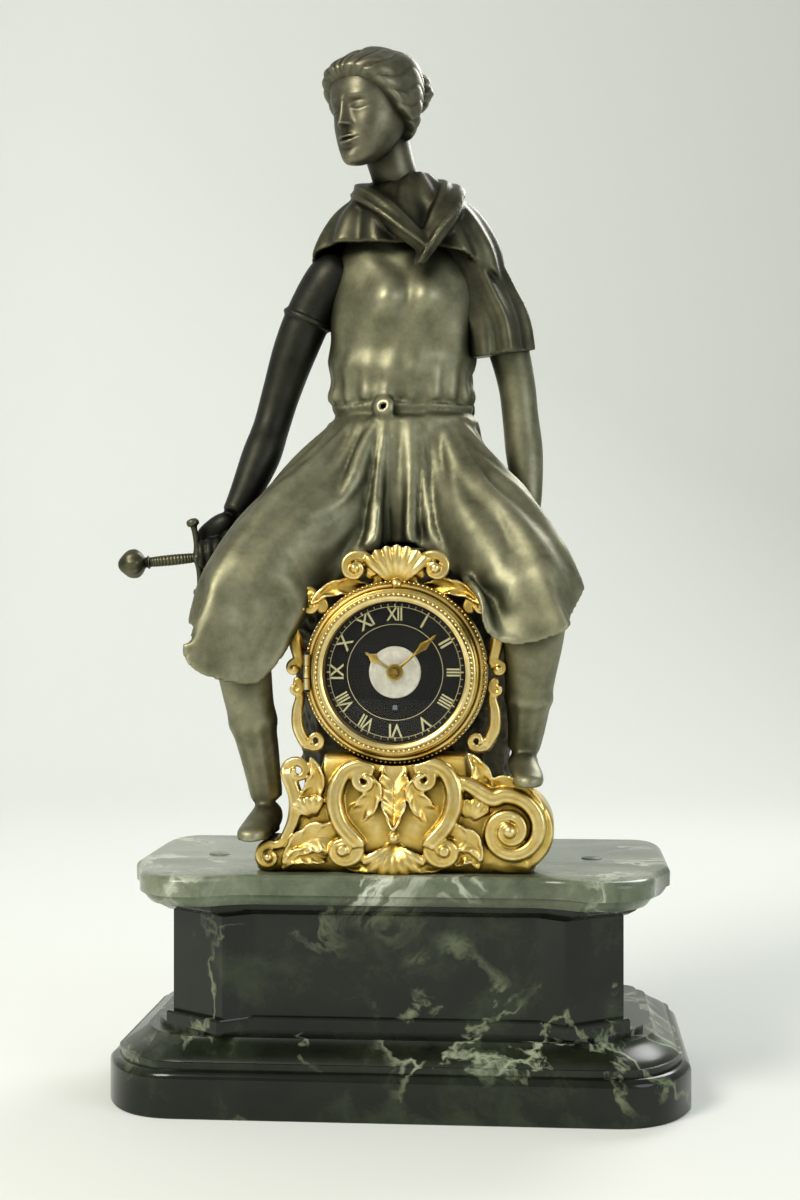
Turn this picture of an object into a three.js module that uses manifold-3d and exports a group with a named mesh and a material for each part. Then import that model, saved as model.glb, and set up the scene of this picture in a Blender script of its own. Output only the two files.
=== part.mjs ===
// A figural mantel clock: a seated bronze figure over a gilt clock case, on a marble plinth.
// Millimetres. X runs to the right, Y to the back and Z up. The origin is the middle of the underside.

import * as THREE from 'three';
import * as BufferGeometryUtils from 'three/addons/utils/BufferGeometryUtils.js';
import Module from 'manifold-3d';

const wasm = await Module();
wasm.setup();

// Clearances
const fitGap = 0.3;
const cutOverrun = 2;
const weldDistance = 0.0005;

// Plinth
const plinthWidth = 352;
const plinthDepth = 200;
const baseSlabHeight = 28;
const baseSlabRound = 5;
const mouldingHeight = 19;
const mouldingStep = 24;
const bodyHeight = 76;
const bodyWidth = 288;
const bodyDepth = 184;
const bodyRecess = 14;
const topSlabHeight = 18;
const topSlabWidth = 330;
const topSlabRound = 4;
const tieRodRadius = 3;
const tieRodSpacing = 236;
const tieNutRadius = 6.5;
const tieNutHeight = 5;
const tieRodStickOut = 1.5;

// Clock
const dialRise = 119;
const dialRadius = 42;
const dialThickness = 1.5;
const dialRecess = 1;
const centreDiscRadius = 15.5;
const centreDiscThickness = 0.8;
const drumRadius = 50;
const drumWall = 2.5;
const drumFront = 69;
const drumBack = 47;
const bezelRadius = 50;
const bezelDepth = 9;
const glassThickness = 1.5;
const hingePinRadius = 0.9;
const hingeKnuckleRadius = 2.4;
const hingeKnuckleLength = 7;
const doorThickness = 2;
const strapThickness = 2.5;
const strapWidth = 9;

// Movement
const plateRadius = 39.5;
const plateThickness = 2;
const frontPlateFace = 50;
const plateSpacing = 38;
const pillarRadius = 2.4;
const pillarCircle = 34.5;
const arborRadius = 1.2;
const trainArborRadius = 0.6;
const pivotRadius = 0.8;
const trainPivotRadius = 0.4;
const barrelArborRadius = 2;
const barrelRadius = 15;
const barrelLength = 19;
const wheelThickness = 1.4;
const barrelModule = 0.6;
const trainModule = 0.35;
const escapeModule = 0.3;
const motionModule = 0.75;
const hourModule = 0.6;
const barrelTeeth = 60;
const centrePinionTeeth = 10;
const centreTeeth = 72;
const thirdPinionTeeth = 6;
const thirdTeeth = 72;
const escapePinionTeeth = 6;
const escapeTeeth = 30;
const cannonTeeth = 8;
const minuteWheelTeeth = 24;
const minutePinionTeeth = 8;
const hourTeeth = 32;
const ratchetTeeth = 18;
const escapeRadius = 8.5;
const ratchetRadius = 7;
const pendulumLength = dialRise + 1;
const pendulumRodRadius = 1.1;
const bobRadius = 15;
const bobThickness = 7;
const ratingNutRadius = 3.2;
const ratingNutHeight = 3;

// Case front and scrolled base
const caseRimRadius = 55;
const caseRimDepth = 17;
const scrollBaseWidth = 168;
const scrollBaseFront = 84;
const scrollBaseBack = 40;
const leftFootRest = 19;
const rightFootRest = 52;

// Mound and figure
const seatRise = 75;
const moundWall = 5;
const moundBack = 48;
const sittingHeight = 315;
const seatBoltRadius = 3;
const seatBoltForward = 22;
const seatLugHeight = 9;

const plinthTop = baseSlabHeight + mouldingHeight + bodyHeight + topSlabHeight;
const dialHeight = plinthTop + dialRise;
const seatHeight = dialHeight + seatRise;

// Finishes
const greenMarble = new THREE.MeshStandardMaterial({ color: 0x26332c, roughness: 0.2, metalness: 0 });
const paleMarble = new THREE.MeshStandardMaterial({ color: 0x4d5f50, roughness: 0.2, metalness: 0 });
const gilt = new THREE.MeshStandardMaterial({ color: 0xd0a444, roughness: 0.3, metalness: 1 });
const bronze = new THREE.MeshStandardMaterial({ color: 0x5c5b42, roughness: 0.4, metalness: 0.9 });
const darkBronze = new THREE.MeshStandardMaterial({ color: 0x38362a, roughness: 0.45, metalness: 0.9 });
const brass = new THREE.MeshStandardMaterial({ color: 0xc9a227, roughness: 0.3, metalness: 1 });
const steel = new THREE.MeshStandardMaterial({ color: 0x9a9da0, roughness: 0.3, metalness: 1 });
const slate = new THREE.MeshStandardMaterial({ color: 0x191512, roughness: 0.35, metalness: 0 });
const cream = new THREE.MeshStandardMaterial({ color: 0xe6e0d2, roughness: 0.3, metalness: 0 });
const clearGlass = new THREE.MeshStandardMaterial({ color: 0xdfe8e6, roughness: 0.05, metalness: 0 });

// Solids from geometries, and back

function solidOf(geometry) {
  const bare = geometry.clone();
  bare.deleteAttribute('normal');
  bare.deleteAttribute('uv');
  const merged = BufferGeometryUtils.mergeVertices(bare, weldDistance);
  const index = merged.index.array;
  const triangles = [];
  for (let i = 0; i < index.length; i += 3) {
    const [a, b, c] = [index[i], index[i + 1], index[i + 2]];
    if (a !== b && b !== c && a !== c) triangles.push(a, b, c);
  }
  return new wasm.Manifold(new wasm.Mesh({
    numProp: 3,
    vertProperties: merged.attributes.position.array,
    triVerts: new Uint32Array(triangles),
  }));
}

function geometryOf(solid) {
  const mesh = solid.getMesh();
  const geometry = new THREE.BufferGeometry();
  geometry.setAttribute('position', new THREE.BufferAttribute(mesh.vertProperties, mesh.numProp));
  geometry.setIndex(new THREE.BufferAttribute(mesh.triVerts, 1));
  geometry.computeVertexNormals();
  return geometry;
}

function joined(...geometries) {
  return geometries.map(solidOf).reduce((whole, next) => whole.add(next));
}

function addPiece(parent, name, shape, material) {
  const geometry = shape.isBufferGeometry ? shape : geometryOf(shape);
  const mesh = new THREE.Mesh(geometry, material);
  mesh.name = name;
  parent.add(mesh);
  return mesh;
}

// Basic forms

function moved(geometry, x, y, z) {
  return geometry.translate(x, y, z);
}

function rodY(radius, front, back, sides, x = 0, z = 0) {
  const rod = new THREE.CylinderGeometry(radius, radius, back - front, sides);
  return moved(rod, x, (front + back) / 2, z);
}

function rodZ(radius, low, high, sides, x = 0, y = 0) {
  const rod = new THREE.CylinderGeometry(radius, radius, high - low, sides).rotateX(Math.PI / 2);
  return moved(rod, x, y, (low + high) / 2);
}

function rodX(radius, left, right, sides, y = 0, z = 0) {
  const rod = new THREE.CylinderGeometry(radius, radius, right - left, sides).rotateZ(Math.PI / 2);
  return moved(rod, (left + right) / 2, y, z);
}

function block(left, right, front, back, low, high) {
  const box = new THREE.BoxGeometry(right - left, back - front, high - low);
  return moved(box, (left + right) / 2, (front + back) / 2, (low + high) / 2);
}

// A turned piece about the Y axis. Each profile point is [radius, y], and the profile closes on itself.
// Its faces point out where the profile runs counter-clockwise, so one that doesn't is turned round.
function turnedY(profile, sides) {
  const points = profile.map(([radius, y]) => new THREE.Vector2(radius, y));
  if (THREE.ShapeUtils.isClockWise(points)) points.reverse();
  const onAxis = points[0].x === 0 && points[points.length - 1].x === 0;
  if (!onAxis) points.push(points[0].clone());
  return new THREE.LatheGeometry(points, sides);
}

function turnedZ(profile, sides) {
  return turnedY(profile, sides).rotateX(Math.PI / 2);
}

// A flat shape drawn in X and Z, as thick as the distance from front to back
function plateY(shape, front, back) {
  const plate = new THREE.ExtrudeGeometry(shape, { depth: back - front, bevelEnabled: false, curveSegments: 10 });
  return moved(plate.rotateX(Math.PI / 2), 0, back, 0);
}

// A closed skin through rings of points, each ring counter-clockwise as seen from the next one
function loft(rings) {
  const sides = rings[0].length;
  const centreOf = (ring) => ring.reduce((sum, p) => sum.add(p), new THREE.Vector3()).divideScalar(sides);
  const points = [...rings.flat(), centreOf(rings[0]), centreOf(rings[rings.length - 1])];
  const startCentre = rings.length * sides;
  const endCentre = startCentre + 1;
  const lastRing = (rings.length - 1) * sides;
  const index = [];
  for (let j = 0; j < sides; j += 1) {
    const k = (j + 1) % sides;
    index.push(startCentre, k, j);
    index.push(endCentre, lastRing + j, lastRing + k);
    for (let i = 0; i < rings.length - 1; i += 1) {
      const low = i * sides;
      const high = low + sides;
      index.push(low + j, low + k, high + k);
      index.push(low + j, high + k, high + j);
    }
  }
  const geometry = new THREE.BufferGeometry().setFromPoints(points);
  geometry.setIndex(index);
  return geometry;
}

// Stone slabs: one outline, carried up through levels of [height, how far it stands in]

function slab(outline, halfWidth, halfDepth, levels) {
  return loft(levels.map(([height, inset]) => outline.map((p) => new THREE.Vector3(
    p.x * (1 - inset / halfWidth),
    p.y * (1 - inset / halfDepth),
    height,
  ))));
}

// The right-hand half of an outline from the front middle to the back middle, mirrored to the left
function mirroredOutline(shape, divisions) {
  const half = shape.getPoints(divisions);
  const left = half.slice(1, -1).reverse().map((p) => new THREE.Vector2(-p.x, p.y));
  return [...half, ...left];
}

function baseOutline() {
  const x = plinthWidth / 2;
  const y = plinthDepth / 2;
  const cornerShare = 0.27;
  const backCornerShare = 0.1;
  const corner = plinthWidth * cornerShare / 2;
  const back = plinthWidth * backCornerShare / 2;
  const half = new THREE.Path();
  half.moveTo(0, -y);
  half.lineTo(x - corner, -y);
  half.quadraticCurveTo(x - corner / 4, -y, x, -y + corner);
  half.lineTo(x, y - back);
  half.quadraticCurveTo(x, y, x - back, y);
  half.lineTo(0, y);
  return mirroredOutline(half, 3);
}

// The body has a square pier set across each front corner
const pierShares = [
  [0.62, -1], [0.74, -1.16], [1, -0.8], [0.935, -0.66],
];

function bodyOutline() {
  const x = bodyWidth / 2;
  const y = bodyDepth / 2 - bodyRecess;
  const back = bodyDepth / 2;
  const half = new THREE.Path();
  half.moveTo(0, -y);
  half.lineTo(x * pierShares[0][0], y * pierShares[0][1]);
  half.lineTo(x * pierShares[1][0], y * pierShares[1][1]);
  half.lineTo(x * pierShares[2][0], y * pierShares[2][1]);
  half.lineTo(x * pierShares[3][0], y * pierShares[3][1]);
  half.lineTo(x * pierShares[3][0], back);
  half.lineTo(0, back);
  return mirroredOutline(half, 1);
}

// The top slab swells into a lobe over each pier, and widens again behind it
const lobeShares = {
  start: [0.48, -0.87],
  inner: [0.58, -0.86],
  front: [0.68, -0.985],
  corner: [0.88, -1.02],
  tip: [0.93, -0.72],
  waist: [0.94, -0.52],
  side: [1, -0.3],
  sideEnd: [1, 0.55],
  backCorner: [1, 0.95],
  back: [0.9, 0.95],
};

function topOutline() {
  const x = topSlabWidth / 2;
  const y = plinthDepth / 2;
  const at = ([across, deep]) => [x * across, y * deep];
  const half = new THREE.Path();
  half.moveTo(0, y * lobeShares.start[1]);
  half.lineTo(...at(lobeShares.start));
  half.quadraticCurveTo(...at(lobeShares.inner), ...at(lobeShares.front));
  half.quadraticCurveTo(...at(lobeShares.corner), ...at(lobeShares.tip));
  half.quadraticCurveTo(...at(lobeShares.waist), ...at(lobeShares.side));
  half.lineTo(...at(lobeShares.sideEnd));
  half.quadraticCurveTo(...at(lobeShares.backCorner), ...at(lobeShares.back));
  half.lineTo(0, y * lobeShares.back[1]);
  return mirroredOutline(half, 3);
}

function tieRodHole(x, low, high, radius) {
  return solidOf(rodZ(radius, low, high, 10, x));
}

function buildPlinth(parent) {
  const halfWidth = plinthWidth / 2;
  const halfDepth = plinthDepth / 2;
  const mouldingLow = baseSlabHeight;
  const bodyLow = mouldingLow + mouldingHeight;
  const bodyHigh = bodyLow + bodyHeight;
  const holeRadius = tieRodRadius + fitGap;
  const rodPlaces = [-tieRodSpacing / 2, tieRodSpacing / 2];
  const holed = (geometry, low, high) => rodPlaces.reduce(
    (stone, x) => stone.subtract(tieRodHole(x, low - cutOverrun, high + cutOverrun, holeRadius)),
    solidOf(geometry),
  );

  const base = slab(baseOutline(), halfWidth, halfDepth, [
    [0, 0],
    [baseSlabHeight - baseSlabRound, 0],
    [baseSlabHeight - baseSlabRound * 0.3, baseSlabRound * 0.3],
    [baseSlabHeight, baseSlabRound],
  ]);
  const pocketHeight = tieNutHeight + tieRodStickOut + fitGap;
  const pockets = rodPlaces.map((x) => tieRodHole(x, -cutOverrun, pocketHeight, tieNutRadius + tieRodStickOut));
  const baseSolid = pockets.reduce((stone, pocket) => stone.subtract(pocket), holed(base, 0, baseSlabHeight));
  addPiece(parent, 'plinth_base_slab', baseSolid, greenMarble);

  const fillet = mouldingHeight * 0.2;
  const moulding = slab(baseOutline(), halfWidth, halfDepth, [
    [mouldingLow, baseSlabRound],
    [mouldingLow + fillet, baseSlabRound],
    [mouldingLow + mouldingHeight * 0.45, mouldingStep * 0.45],
    [mouldingLow + mouldingHeight * 0.7, mouldingStep * 0.8],
    [bodyLow - fillet, mouldingStep * 0.9],
    [bodyLow - fillet, mouldingStep + fillet],
    [bodyLow, mouldingStep + fillet],
  ]);
  addPiece(parent, 'plinth_moulding', holed(moulding, mouldingLow, bodyLow), paleMarble);

  const capHeight = bodyHeight * 0.1;
  const capStep = capHeight * 0.5;
  const body = slab(bodyOutline(), bodyWidth / 2, bodyDepth / 2, [
    [bodyLow, capStep],
    [bodyLow + capHeight, capStep],
    [bodyLow + capHeight, capStep * 2],
    [bodyHigh - capHeight, capStep * 2],
    [bodyHigh - capHeight / 2, 0],
    [bodyHigh, 0],
  ]);
  addPiece(parent, 'plinth_body', holed(body, bodyLow, bodyHigh), greenMarble);

  const top = slab(topOutline(), topSlabWidth / 2, halfDepth, [
    [bodyHigh, topSlabRound * 1.5],
    [bodyHigh + topSlabHeight * 0.35, topSlabRound * 0.5],
    [bodyHigh + topSlabHeight * 0.35, 0],
    [plinthTop - topSlabRound, 0],
    [plinthTop - topSlabRound * 0.3, topSlabRound * 0.3],
    [plinthTop, topSlabRound],
  ]);
  const headSeat = bodyHigh + tieNutHeight + fitGap * 2;
  const boltHole = solidOf(rodZ(seatBoltRadius + fitGap, bodyHigh - cutOverrun, plinthTop + cutOverrun, 10,
    0, -seatBoltForward));
  const boltPocket = solidOf(rodZ(tieNutRadius + tieRodStickOut, bodyHigh - cutOverrun, headSeat, 10,
    0, -seatBoltForward));
  const seatBolt = joined(
    rodZ(tieNutRadius, headSeat - tieNutHeight, headSeat, 6, 0, -seatBoltForward),
    rodZ(seatBoltRadius, headSeat, plinthTop + seatLugHeight - fitGap, 8, 0, -seatBoltForward),
  );
  addPiece(parent, 'seat_bolt', seatBolt, steel);
  addPiece(parent, 'plinth_top_slab', holed(top, bodyHigh, plinthTop).subtract(boltHole).subtract(boltPocket),
    paleMarble);

  rodPlaces.forEach((x, i) => {
    const side = i === 0 ? 'left' : 'right';
    const rodTop = plinthTop + tieNutHeight * 0.5;
    const rod = joined(
      rodZ(tieRodRadius, fitGap, plinthTop, 8, x),
      rodZ(tieNutRadius, plinthTop, rodTop, 12, x),
    );
    const nut = solidOf(rodZ(tieNutRadius, pocketHeight - tieNutHeight, pocketHeight, 6, x))
      .subtract(tieRodHole(x, -cutOverrun, pocketHeight + cutOverrun, tieRodRadius + fitGap));
    addPiece(parent, `tie_rod_${side}`, rod, brass);
    addPiece(parent, `tie_nut_${side}`, nut, steel);
  });
}

// Gears: a wheel's teeth are plain points, and a pinion's leaves have straight flanks

function gearShape({ teeth, module, tipShare, rootShare, addendumShare = 0.72, dedendumShare = 1.15 }) {
  const pitchRadius = teeth * module / 2;
  const tip = pitchRadius + addendumShare * module;
  const root = pitchRadius - dedendumShare * module;
  const step = 2 * Math.PI / teeth;
  const shape = new THREE.Shape();
  for (let i = 0; i < teeth; i += 1) {
    const middle = i * step;
    const corners = tipShare === 0
      ? [[root, -step / 2], [tip, 0]]
      : [[root, -step * rootShare], [tip, -step * tipShare], [tip, step * tipShare], [root, step * rootShare]];
    corners.forEach(([radius, turn], k) => {
      const x = radius * Math.cos(middle + turn);
      const z = radius * Math.sin(middle + turn);
      if (i === 0 && k === 0) shape.moveTo(x, z);
      else shape.lineTo(x, z);
    });
  }
  shape.closePath();
  return shape;
}

const wheelToothShares = { tipShare: 0 };
const pinionToothShares = { tipShare: 0.075, rootShare: 0.2 };

// Windows between the spokes of a wheel
function addCrossings(shape, inner, outer, count) {
  const step = 2 * Math.PI / count;
  const rimGap = 0.16;
  const hubGap = 0.5;
  for (let i = 0; i < count; i += 1) {
    const middle = (i + 0.5) * step;
    const hole = new THREE.Path();
    const corners = [
      [inner, -step / 2 + hubGap], [outer, -step / 2 + rimGap], [outer, 0],
      [outer, step / 2 - rimGap], [inner, step / 2 - hubGap],
    ];
    corners.forEach(([radius, turn], k) => {
      const x = radius * Math.cos(middle + turn);
      const z = radius * Math.sin(middle + turn);
      if (k === 0) hole.moveTo(x, z);
      else hole.lineTo(x, z);
    });
    hole.closePath();
    shape.holes.push(hole);
  }
  return shape;
}

function centreDistance(module, teethA, teethB) {
  return module * (teethA + teethB) / 2;
}

const barrelDrop = centreDistance(barrelModule, barrelTeeth, centrePinionTeeth);
const thirdDistance = centreDistance(trainModule, centreTeeth, thirdPinionTeeth);
const thirdPlace = new THREE.Vector2(-thirdDistance * Math.SQRT1_2, thirdDistance * Math.SQRT1_2);
const escapeDistance = centreDistance(escapeModule, thirdTeeth, escapePinionTeeth);
const escapeRise = thirdPlace.y + Math.sqrt(escapeDistance ** 2 - thirdPlace.x ** 2);
const anchorRise = escapeRise + escapeRadius * 1.65;
const minuteWheelDistance = centreDistance(motionModule, cannonTeeth, minuteWheelTeeth);

// The turn that brings a gear's tooth space onto the line to its mate
function meshTurn(teeth, mateTeeth, towardsMate, mateTurn) {
  const mateSpace = (towardsMate + Math.PI - mateTurn) / (2 * Math.PI / mateTeeth);
  const matePhase = mateSpace - Math.floor(mateSpace);
  const ownPhase = 0.5 - matePhase;
  return towardsMate - ownPhase * (2 * Math.PI / teeth);
}

function gearPlate(spec, turn, front, back, place, crossings) {
  const shape = gearShape(spec);
  if (crossings) addCrossings(shape, crossings.inner, crossings.outer, crossings.count);
  const plate = new THREE.ExtrudeGeometry(shape, { depth: back - front, bevelEnabled: false });
  plate.rotateZ(turn).rotateX(Math.PI / 2);
  return moved(plate, place.x, back, place.y);
}


// Case drum, its front and rear rings, and the straps that clamp the movement between them

const drumInner = drumRadius - drumWall;
const ringOuter = drumInner - fitGap;
const ringInner = dialRadius + fitGap;
const bezelBack = drumFront + fitGap * 4;
const dialFace = drumFront - dialRecess;
const rearRingBack = moundBack + fitGap + doorThickness;
const strapInner = plateRadius + strapThickness;

function knuckle(axisX, axisY, middle) {
  return rodZ(hingeKnuckleRadius, middle - hingeKnuckleLength / 2, middle + hingeKnuckleLength / 2, 12, axisX, axisY);
}

function hingeBore(axisX, axisY) {
  const reach = hingeKnuckleLength * 3;
  return solidOf(rodZ(hingePinRadius * 1.8 + fitGap, -reach, -hingeKnuckleLength * 1.5 - fitGap * 2, 8, axisX, axisY))
    .add(solidOf(rodZ(hingePinRadius * 1.8 + fitGap, hingeKnuckleLength * 1.5 + fitGap * 2, reach, 8, axisX, axisY)))
    .add(solidOf(rodZ(hingePinRadius + fitGap, -reach, reach, 8, axisX, axisY)));
}

function hingePin(axisX, axisY) {
  const reach = hingeKnuckleLength * 1.5 + fitGap * 2;
  const head = hingePinRadius * 1.8;
  return joined(
    rodZ(hingePinRadius, -reach, reach, 8, axisX, axisY),
    rodZ(head, reach, reach + hingePinRadius, 8, axisX, axisY),
    rodZ(head, -reach - hingePinRadius, -reach, 8, axisX, axisY),
  );
}

// Two fixed knuckles, each on a leaf that reaches in to what carries it
function fixedKnuckles(axisX, axisY, inner, front, back) {
  const offset = hingeKnuckleLength + fitGap;
  return [-offset, offset].map((middle) => joined(
    knuckle(axisX, axisY, middle),
    block(axisX, inner, front, back, middle - hingeKnuckleLength / 2, middle + hingeKnuckleLength / 2),
  ));
}

const bezelHingeX = -(bezelRadius + hingeKnuckleRadius);
const bezelHingeY = -bezelBack;
const doorRadius = drumRadius;
const doorFront = rearRingBack + fitGap;
const doorHingeX = -(doorRadius + hingeKnuckleRadius * 2);
const doorHingeY = doorFront + fitGap;

function buildDrum(parent) {
  const tube = solidOf(turnedY([
    [drumInner, -drumFront], [drumRadius, -drumFront], [drumRadius, drumBack], [drumInner, drumBack],
  ], 36));
  const slotHalf = bobRadius * 0.6;
  const slot = solidOf(block(-slotHalf, slotHalf, -slotHalf, slotHalf, -drumRadius - cutOverrun, -drumInner / 2));
  addPiece(parent, 'case_drum', tube.subtract(slot), brass);

  const frontRing = turnedY([
    [ringInner, -drumFront], [ringOuter, -drumFront], [ringOuter, -dialFace + strapThickness],
    [ringInner, -dialFace + strapThickness],
  ], 32);
  addPiece(parent, 'front_ring', frontRing, brass);

  const rearFlange = drumRadius + hingeKnuckleRadius;
  const spigotFront = drumBack - strapThickness;
  const rearRing = solidOf(turnedY([
    [ringInner, spigotFront], [ringOuter, spigotFront], [ringOuter, moundBack + fitGap],
    [rearFlange, moundBack + fitGap], [rearFlange, rearRingBack], [ringInner, rearRingBack],
  ], 24));
  const knuckles = fixedKnuckles(doorHingeX, doorHingeY, -ringOuter, moundBack + fitGap, rearRingBack);
  const rearBore = hingeBore(doorHingeX, doorHingeY);
  addPiece(parent, 'rear_ring', knuckles.reduce((ring, next) => ring.add(next), rearRing).subtract(rearBore), brass);

  [-1, 1].forEach((side) => {
    const near = side * strapInner;
    const far = side * (strapInner + strapThickness);
    const strap = block(Math.min(near, far), Math.max(near, far), -dialFace + strapThickness, spigotFront,
      -strapWidth / 2, strapWidth / 2);
    addPiece(parent, side < 0 ? 'strap_left' : 'strap_right', strap, brass);
  });

  const door = joined(
    turnedY([
      [0, doorFront], [doorRadius, doorFront], [doorRadius, doorFront + doorThickness],
      [hingeKnuckleRadius, doorFront + doorThickness], [hingeKnuckleRadius, doorFront + doorThickness * 2],
      [hingeKnuckleRadius * 1.5, doorFront + doorThickness * 2.5], [0, doorFront + doorThickness * 3],
    ], 24),
    knuckle(doorHingeX, doorHingeY, 0),
    block(doorHingeX, -ringInner, doorFront, doorFront + doorThickness,
      -hingeKnuckleLength / 2, hingeKnuckleLength / 2),
  );
  addPiece(parent, 'rear_door', door.subtract(rearBore), brass);
  addPiece(parent, 'door_hinge_pin', hingePin(doorHingeX, doorHingeY), steel);
}

// Bezel, glass, dial and hands

const glassBack = bezelBack + bezelDepth * 0.62;

function buildBezel(parent) {
  const lip = dialRadius + fitGap;
  const seat = bezelRadius - drumWall;
  const front = bezelBack + bezelDepth;
  const lipBack = glassBack + glassThickness + fitGap * 2.5;
  const ring = solidOf(turnedY([
    [seat, -bezelBack], [bezelRadius, -bezelBack], [bezelRadius, -bezelBack - bezelDepth * 0.4],
    [bezelRadius * 0.97, -bezelBack - bezelDepth * 0.8], [bezelRadius * 0.93, -front],
    [lip, -front + glassThickness * 0.4], [lip, -lipBack], [seat, -lipBack],
  ], 32));
  const leaf = block(bezelHingeX, -seat - fitGap, bezelHingeY - hingeKnuckleRadius, bezelHingeY,
    -hingeKnuckleLength / 2, hingeKnuckleLength / 2);
  const hinged = ring.add(joined(knuckle(bezelHingeX, bezelHingeY, 0), leaf));
  addPiece(parent, 'bezel_ring', hinged.subtract(hingeBore(bezelHingeX, bezelHingeY)), gilt);
  addPiece(parent, 'bezel_hinge_pin', hingePin(bezelHingeX, bezelHingeY), steel);

  const glassRadius = seat - fitGap;
  const crown = glassThickness * 1.4;
  const dome = [[0, crown], [0.45, crown * 0.8], [0.8, crown * 0.35], [1, 0]];
  const outer = dome.map(([share, rise]) => [glassRadius * share, -glassBack - glassThickness - rise]);
  const inner = dome.map(([share, rise]) => [glassRadius * share, -glassBack - rise]).reverse();
  addPiece(parent, 'bezel_glass', turnedY([...outer, ...inner], 24), clearGlass);

  const sightRing = turnedY([
    [lip, -glassBack + fitGap], [glassRadius, -glassBack + fitGap], [glassRadius, -bezelBack - fitGap],
  ], 24);
  addPiece(parent, 'sight_ring', sightRing, gilt);
}

function handShape(length, width, boss, bore) {
  const shape = new THREE.Shape();
  shape.moveTo(boss * 0.7, boss * 0.7);
  shape.quadraticCurveTo(width * 0.3, length * 0.35, width * 0.35, length * 0.55);
  shape.quadraticCurveTo(width * 1.3, length * 0.68, 0, length);
  shape.quadraticCurveTo(-width * 1.3, length * 0.68, -width * 0.35, length * 0.55);
  shape.quadraticCurveTo(-width * 0.3, length * 0.35, -boss * 0.7, boss * 0.7);
  shape.absarc(0, 0, boss, Math.PI * 0.75, Math.PI * 2.25, false);
  const hole = new THREE.Path();
  hole.absarc(0, 0, bore, 0, Math.PI * 2, false);
  shape.holes.push(hole);
  return shape;
}

const hourPipeRadius = 3.1;
const cannonPipeRadius = 2.1;
const handThickness = 0.8;
const handStep = 1.2;
const hourHandLength = 21;
const minuteHandLength = 34;
const handWidth = 5;
const shownHour = 10;
const shownMinute = 8;
const hourHandFront = dialFace + centreDiscThickness + handStep + handThickness;
const minuteHandFront = hourHandFront + handStep + handThickness;
const handNutFront = minuteHandFront + handStep;

function buildDial(parent) {
  const windingHole = solidOf(rodY(barrelArborRadius + handStep, -drumFront, drumFront, 14, 0, -barrelDrop));
  const hourHole = solidOf(rodY(hourPipeRadius + handStep, -drumFront, drumFront, 16));
  const feet = [0.25, 0.92, 1.58].map((turn) => {
    const reach = plateRadius - pillarRadius;
    return rodY(arborRadius, -dialFace + dialThickness / 2, -frontPlateFace - plateThickness - fitGap, 8,
      reach * Math.cos(turn * Math.PI), reach * Math.sin(turn * Math.PI));
  });
  const dial = joined(rodY(dialRadius, -dialFace, -dialFace + dialThickness, 32), ...feet);
  addPiece(parent, 'dial_plate', dial.subtract(hourHole).subtract(windingHole), slate);
  const disc = solidOf(rodY(centreDiscRadius, -dialFace - centreDiscThickness, -dialFace, 24));
  addPiece(parent, 'dial_centre', disc.subtract(hourHole), cream);

  const minuteTurn = -shownMinute / 60 * 2 * Math.PI;
  const hourTurn = -(shownHour + shownMinute / 60) / 12 * 2 * Math.PI;
  const hourHand = handShape(hourHandLength, handWidth, hourPipeRadius * 1.6, hourPipeRadius + fitGap);
  const minuteHand = handShape(minuteHandLength, handWidth * 0.8, cannonPipeRadius * 2, cannonPipeRadius + fitGap);
  const laid = (shape, turn, front) => {
    const plate = new THREE.ExtrudeGeometry(shape, { depth: handThickness, bevelEnabled: false, curveSegments: 6 });
    return moved(plate.rotateZ(turn).rotateX(Math.PI / 2), 0, -front + handThickness, 0);
  };
  addPiece(parent, 'hour_hand', laid(hourHand, hourTurn, hourHandFront), gilt);
  addPiece(parent, 'minute_hand', laid(minuteHand, minuteTurn, minuteHandFront), gilt);
  const nut = solidOf(rodY(cannonPipeRadius, -handNutFront, -handNutFront + handThickness, 12))
    .subtract(solidOf(rodY(arborRadius + fitGap, -handNutFront - cutOverrun, -minuteHandFront, 10)));
  addPiece(parent, 'hand_nut', nut, brass);
}

// Movement: plates, pillars, going train, motion work and pendulum

const frontPlateFront = frontPlateFace + plateThickness;
const backPlateFace = frontPlateFace - plateSpacing;
const backPlateBack = backPlateFace - plateThickness;
const centrePlace = new THREE.Vector2(0, 0);
const barrelPlace = new THREE.Vector2(0, -barrelDrop);
const escapePlace = new THREE.Vector2(0, escapeRise);
const anchorPlace = new THREE.Vector2(0, anchorRise);
const minuteWheelPlace = new THREE.Vector2(minuteWheelDistance, 0);
const greatWheelFront = frontPlateFace - fitGap * 6 - barrelLength;
const centreWheelFront = backPlateFace + plateSpacing * 0.2;
const thirdWheelFront = frontPlateFace - plateSpacing * 0.42;
const escapeWheelFront = backPlateFace + plateSpacing * 0.13;
const motionBase = frontPlateFront + wheelThickness * 2;
const towards = (from, to) => Math.atan2(to.y - from.y, to.x - from.x);

const centrePinionTurn = 0;
const barrelTurn = meshTurn(barrelTeeth, centrePinionTeeth, towards(barrelPlace, centrePlace), centrePinionTurn);
const centreTurn = 0;
const thirdPinionTurn = meshTurn(thirdPinionTeeth, centreTeeth, towards(thirdPlace, centrePlace), centreTurn);
const thirdTurn = 0;
const escapePinionTurn = meshTurn(escapePinionTeeth, thirdTeeth, towards(escapePlace, thirdPlace), thirdTurn);
const cannonTurn = 0;
const minuteWheelTurn = meshTurn(minuteWheelTeeth, cannonTeeth, towards(minuteWheelPlace, centrePlace), cannonTurn);
const minutePinionTurn = 0;
const hourTurnInMesh = meshTurn(hourTeeth, minutePinionTeeth, towards(centrePlace, minuteWheelPlace),
  minutePinionTurn);

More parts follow.
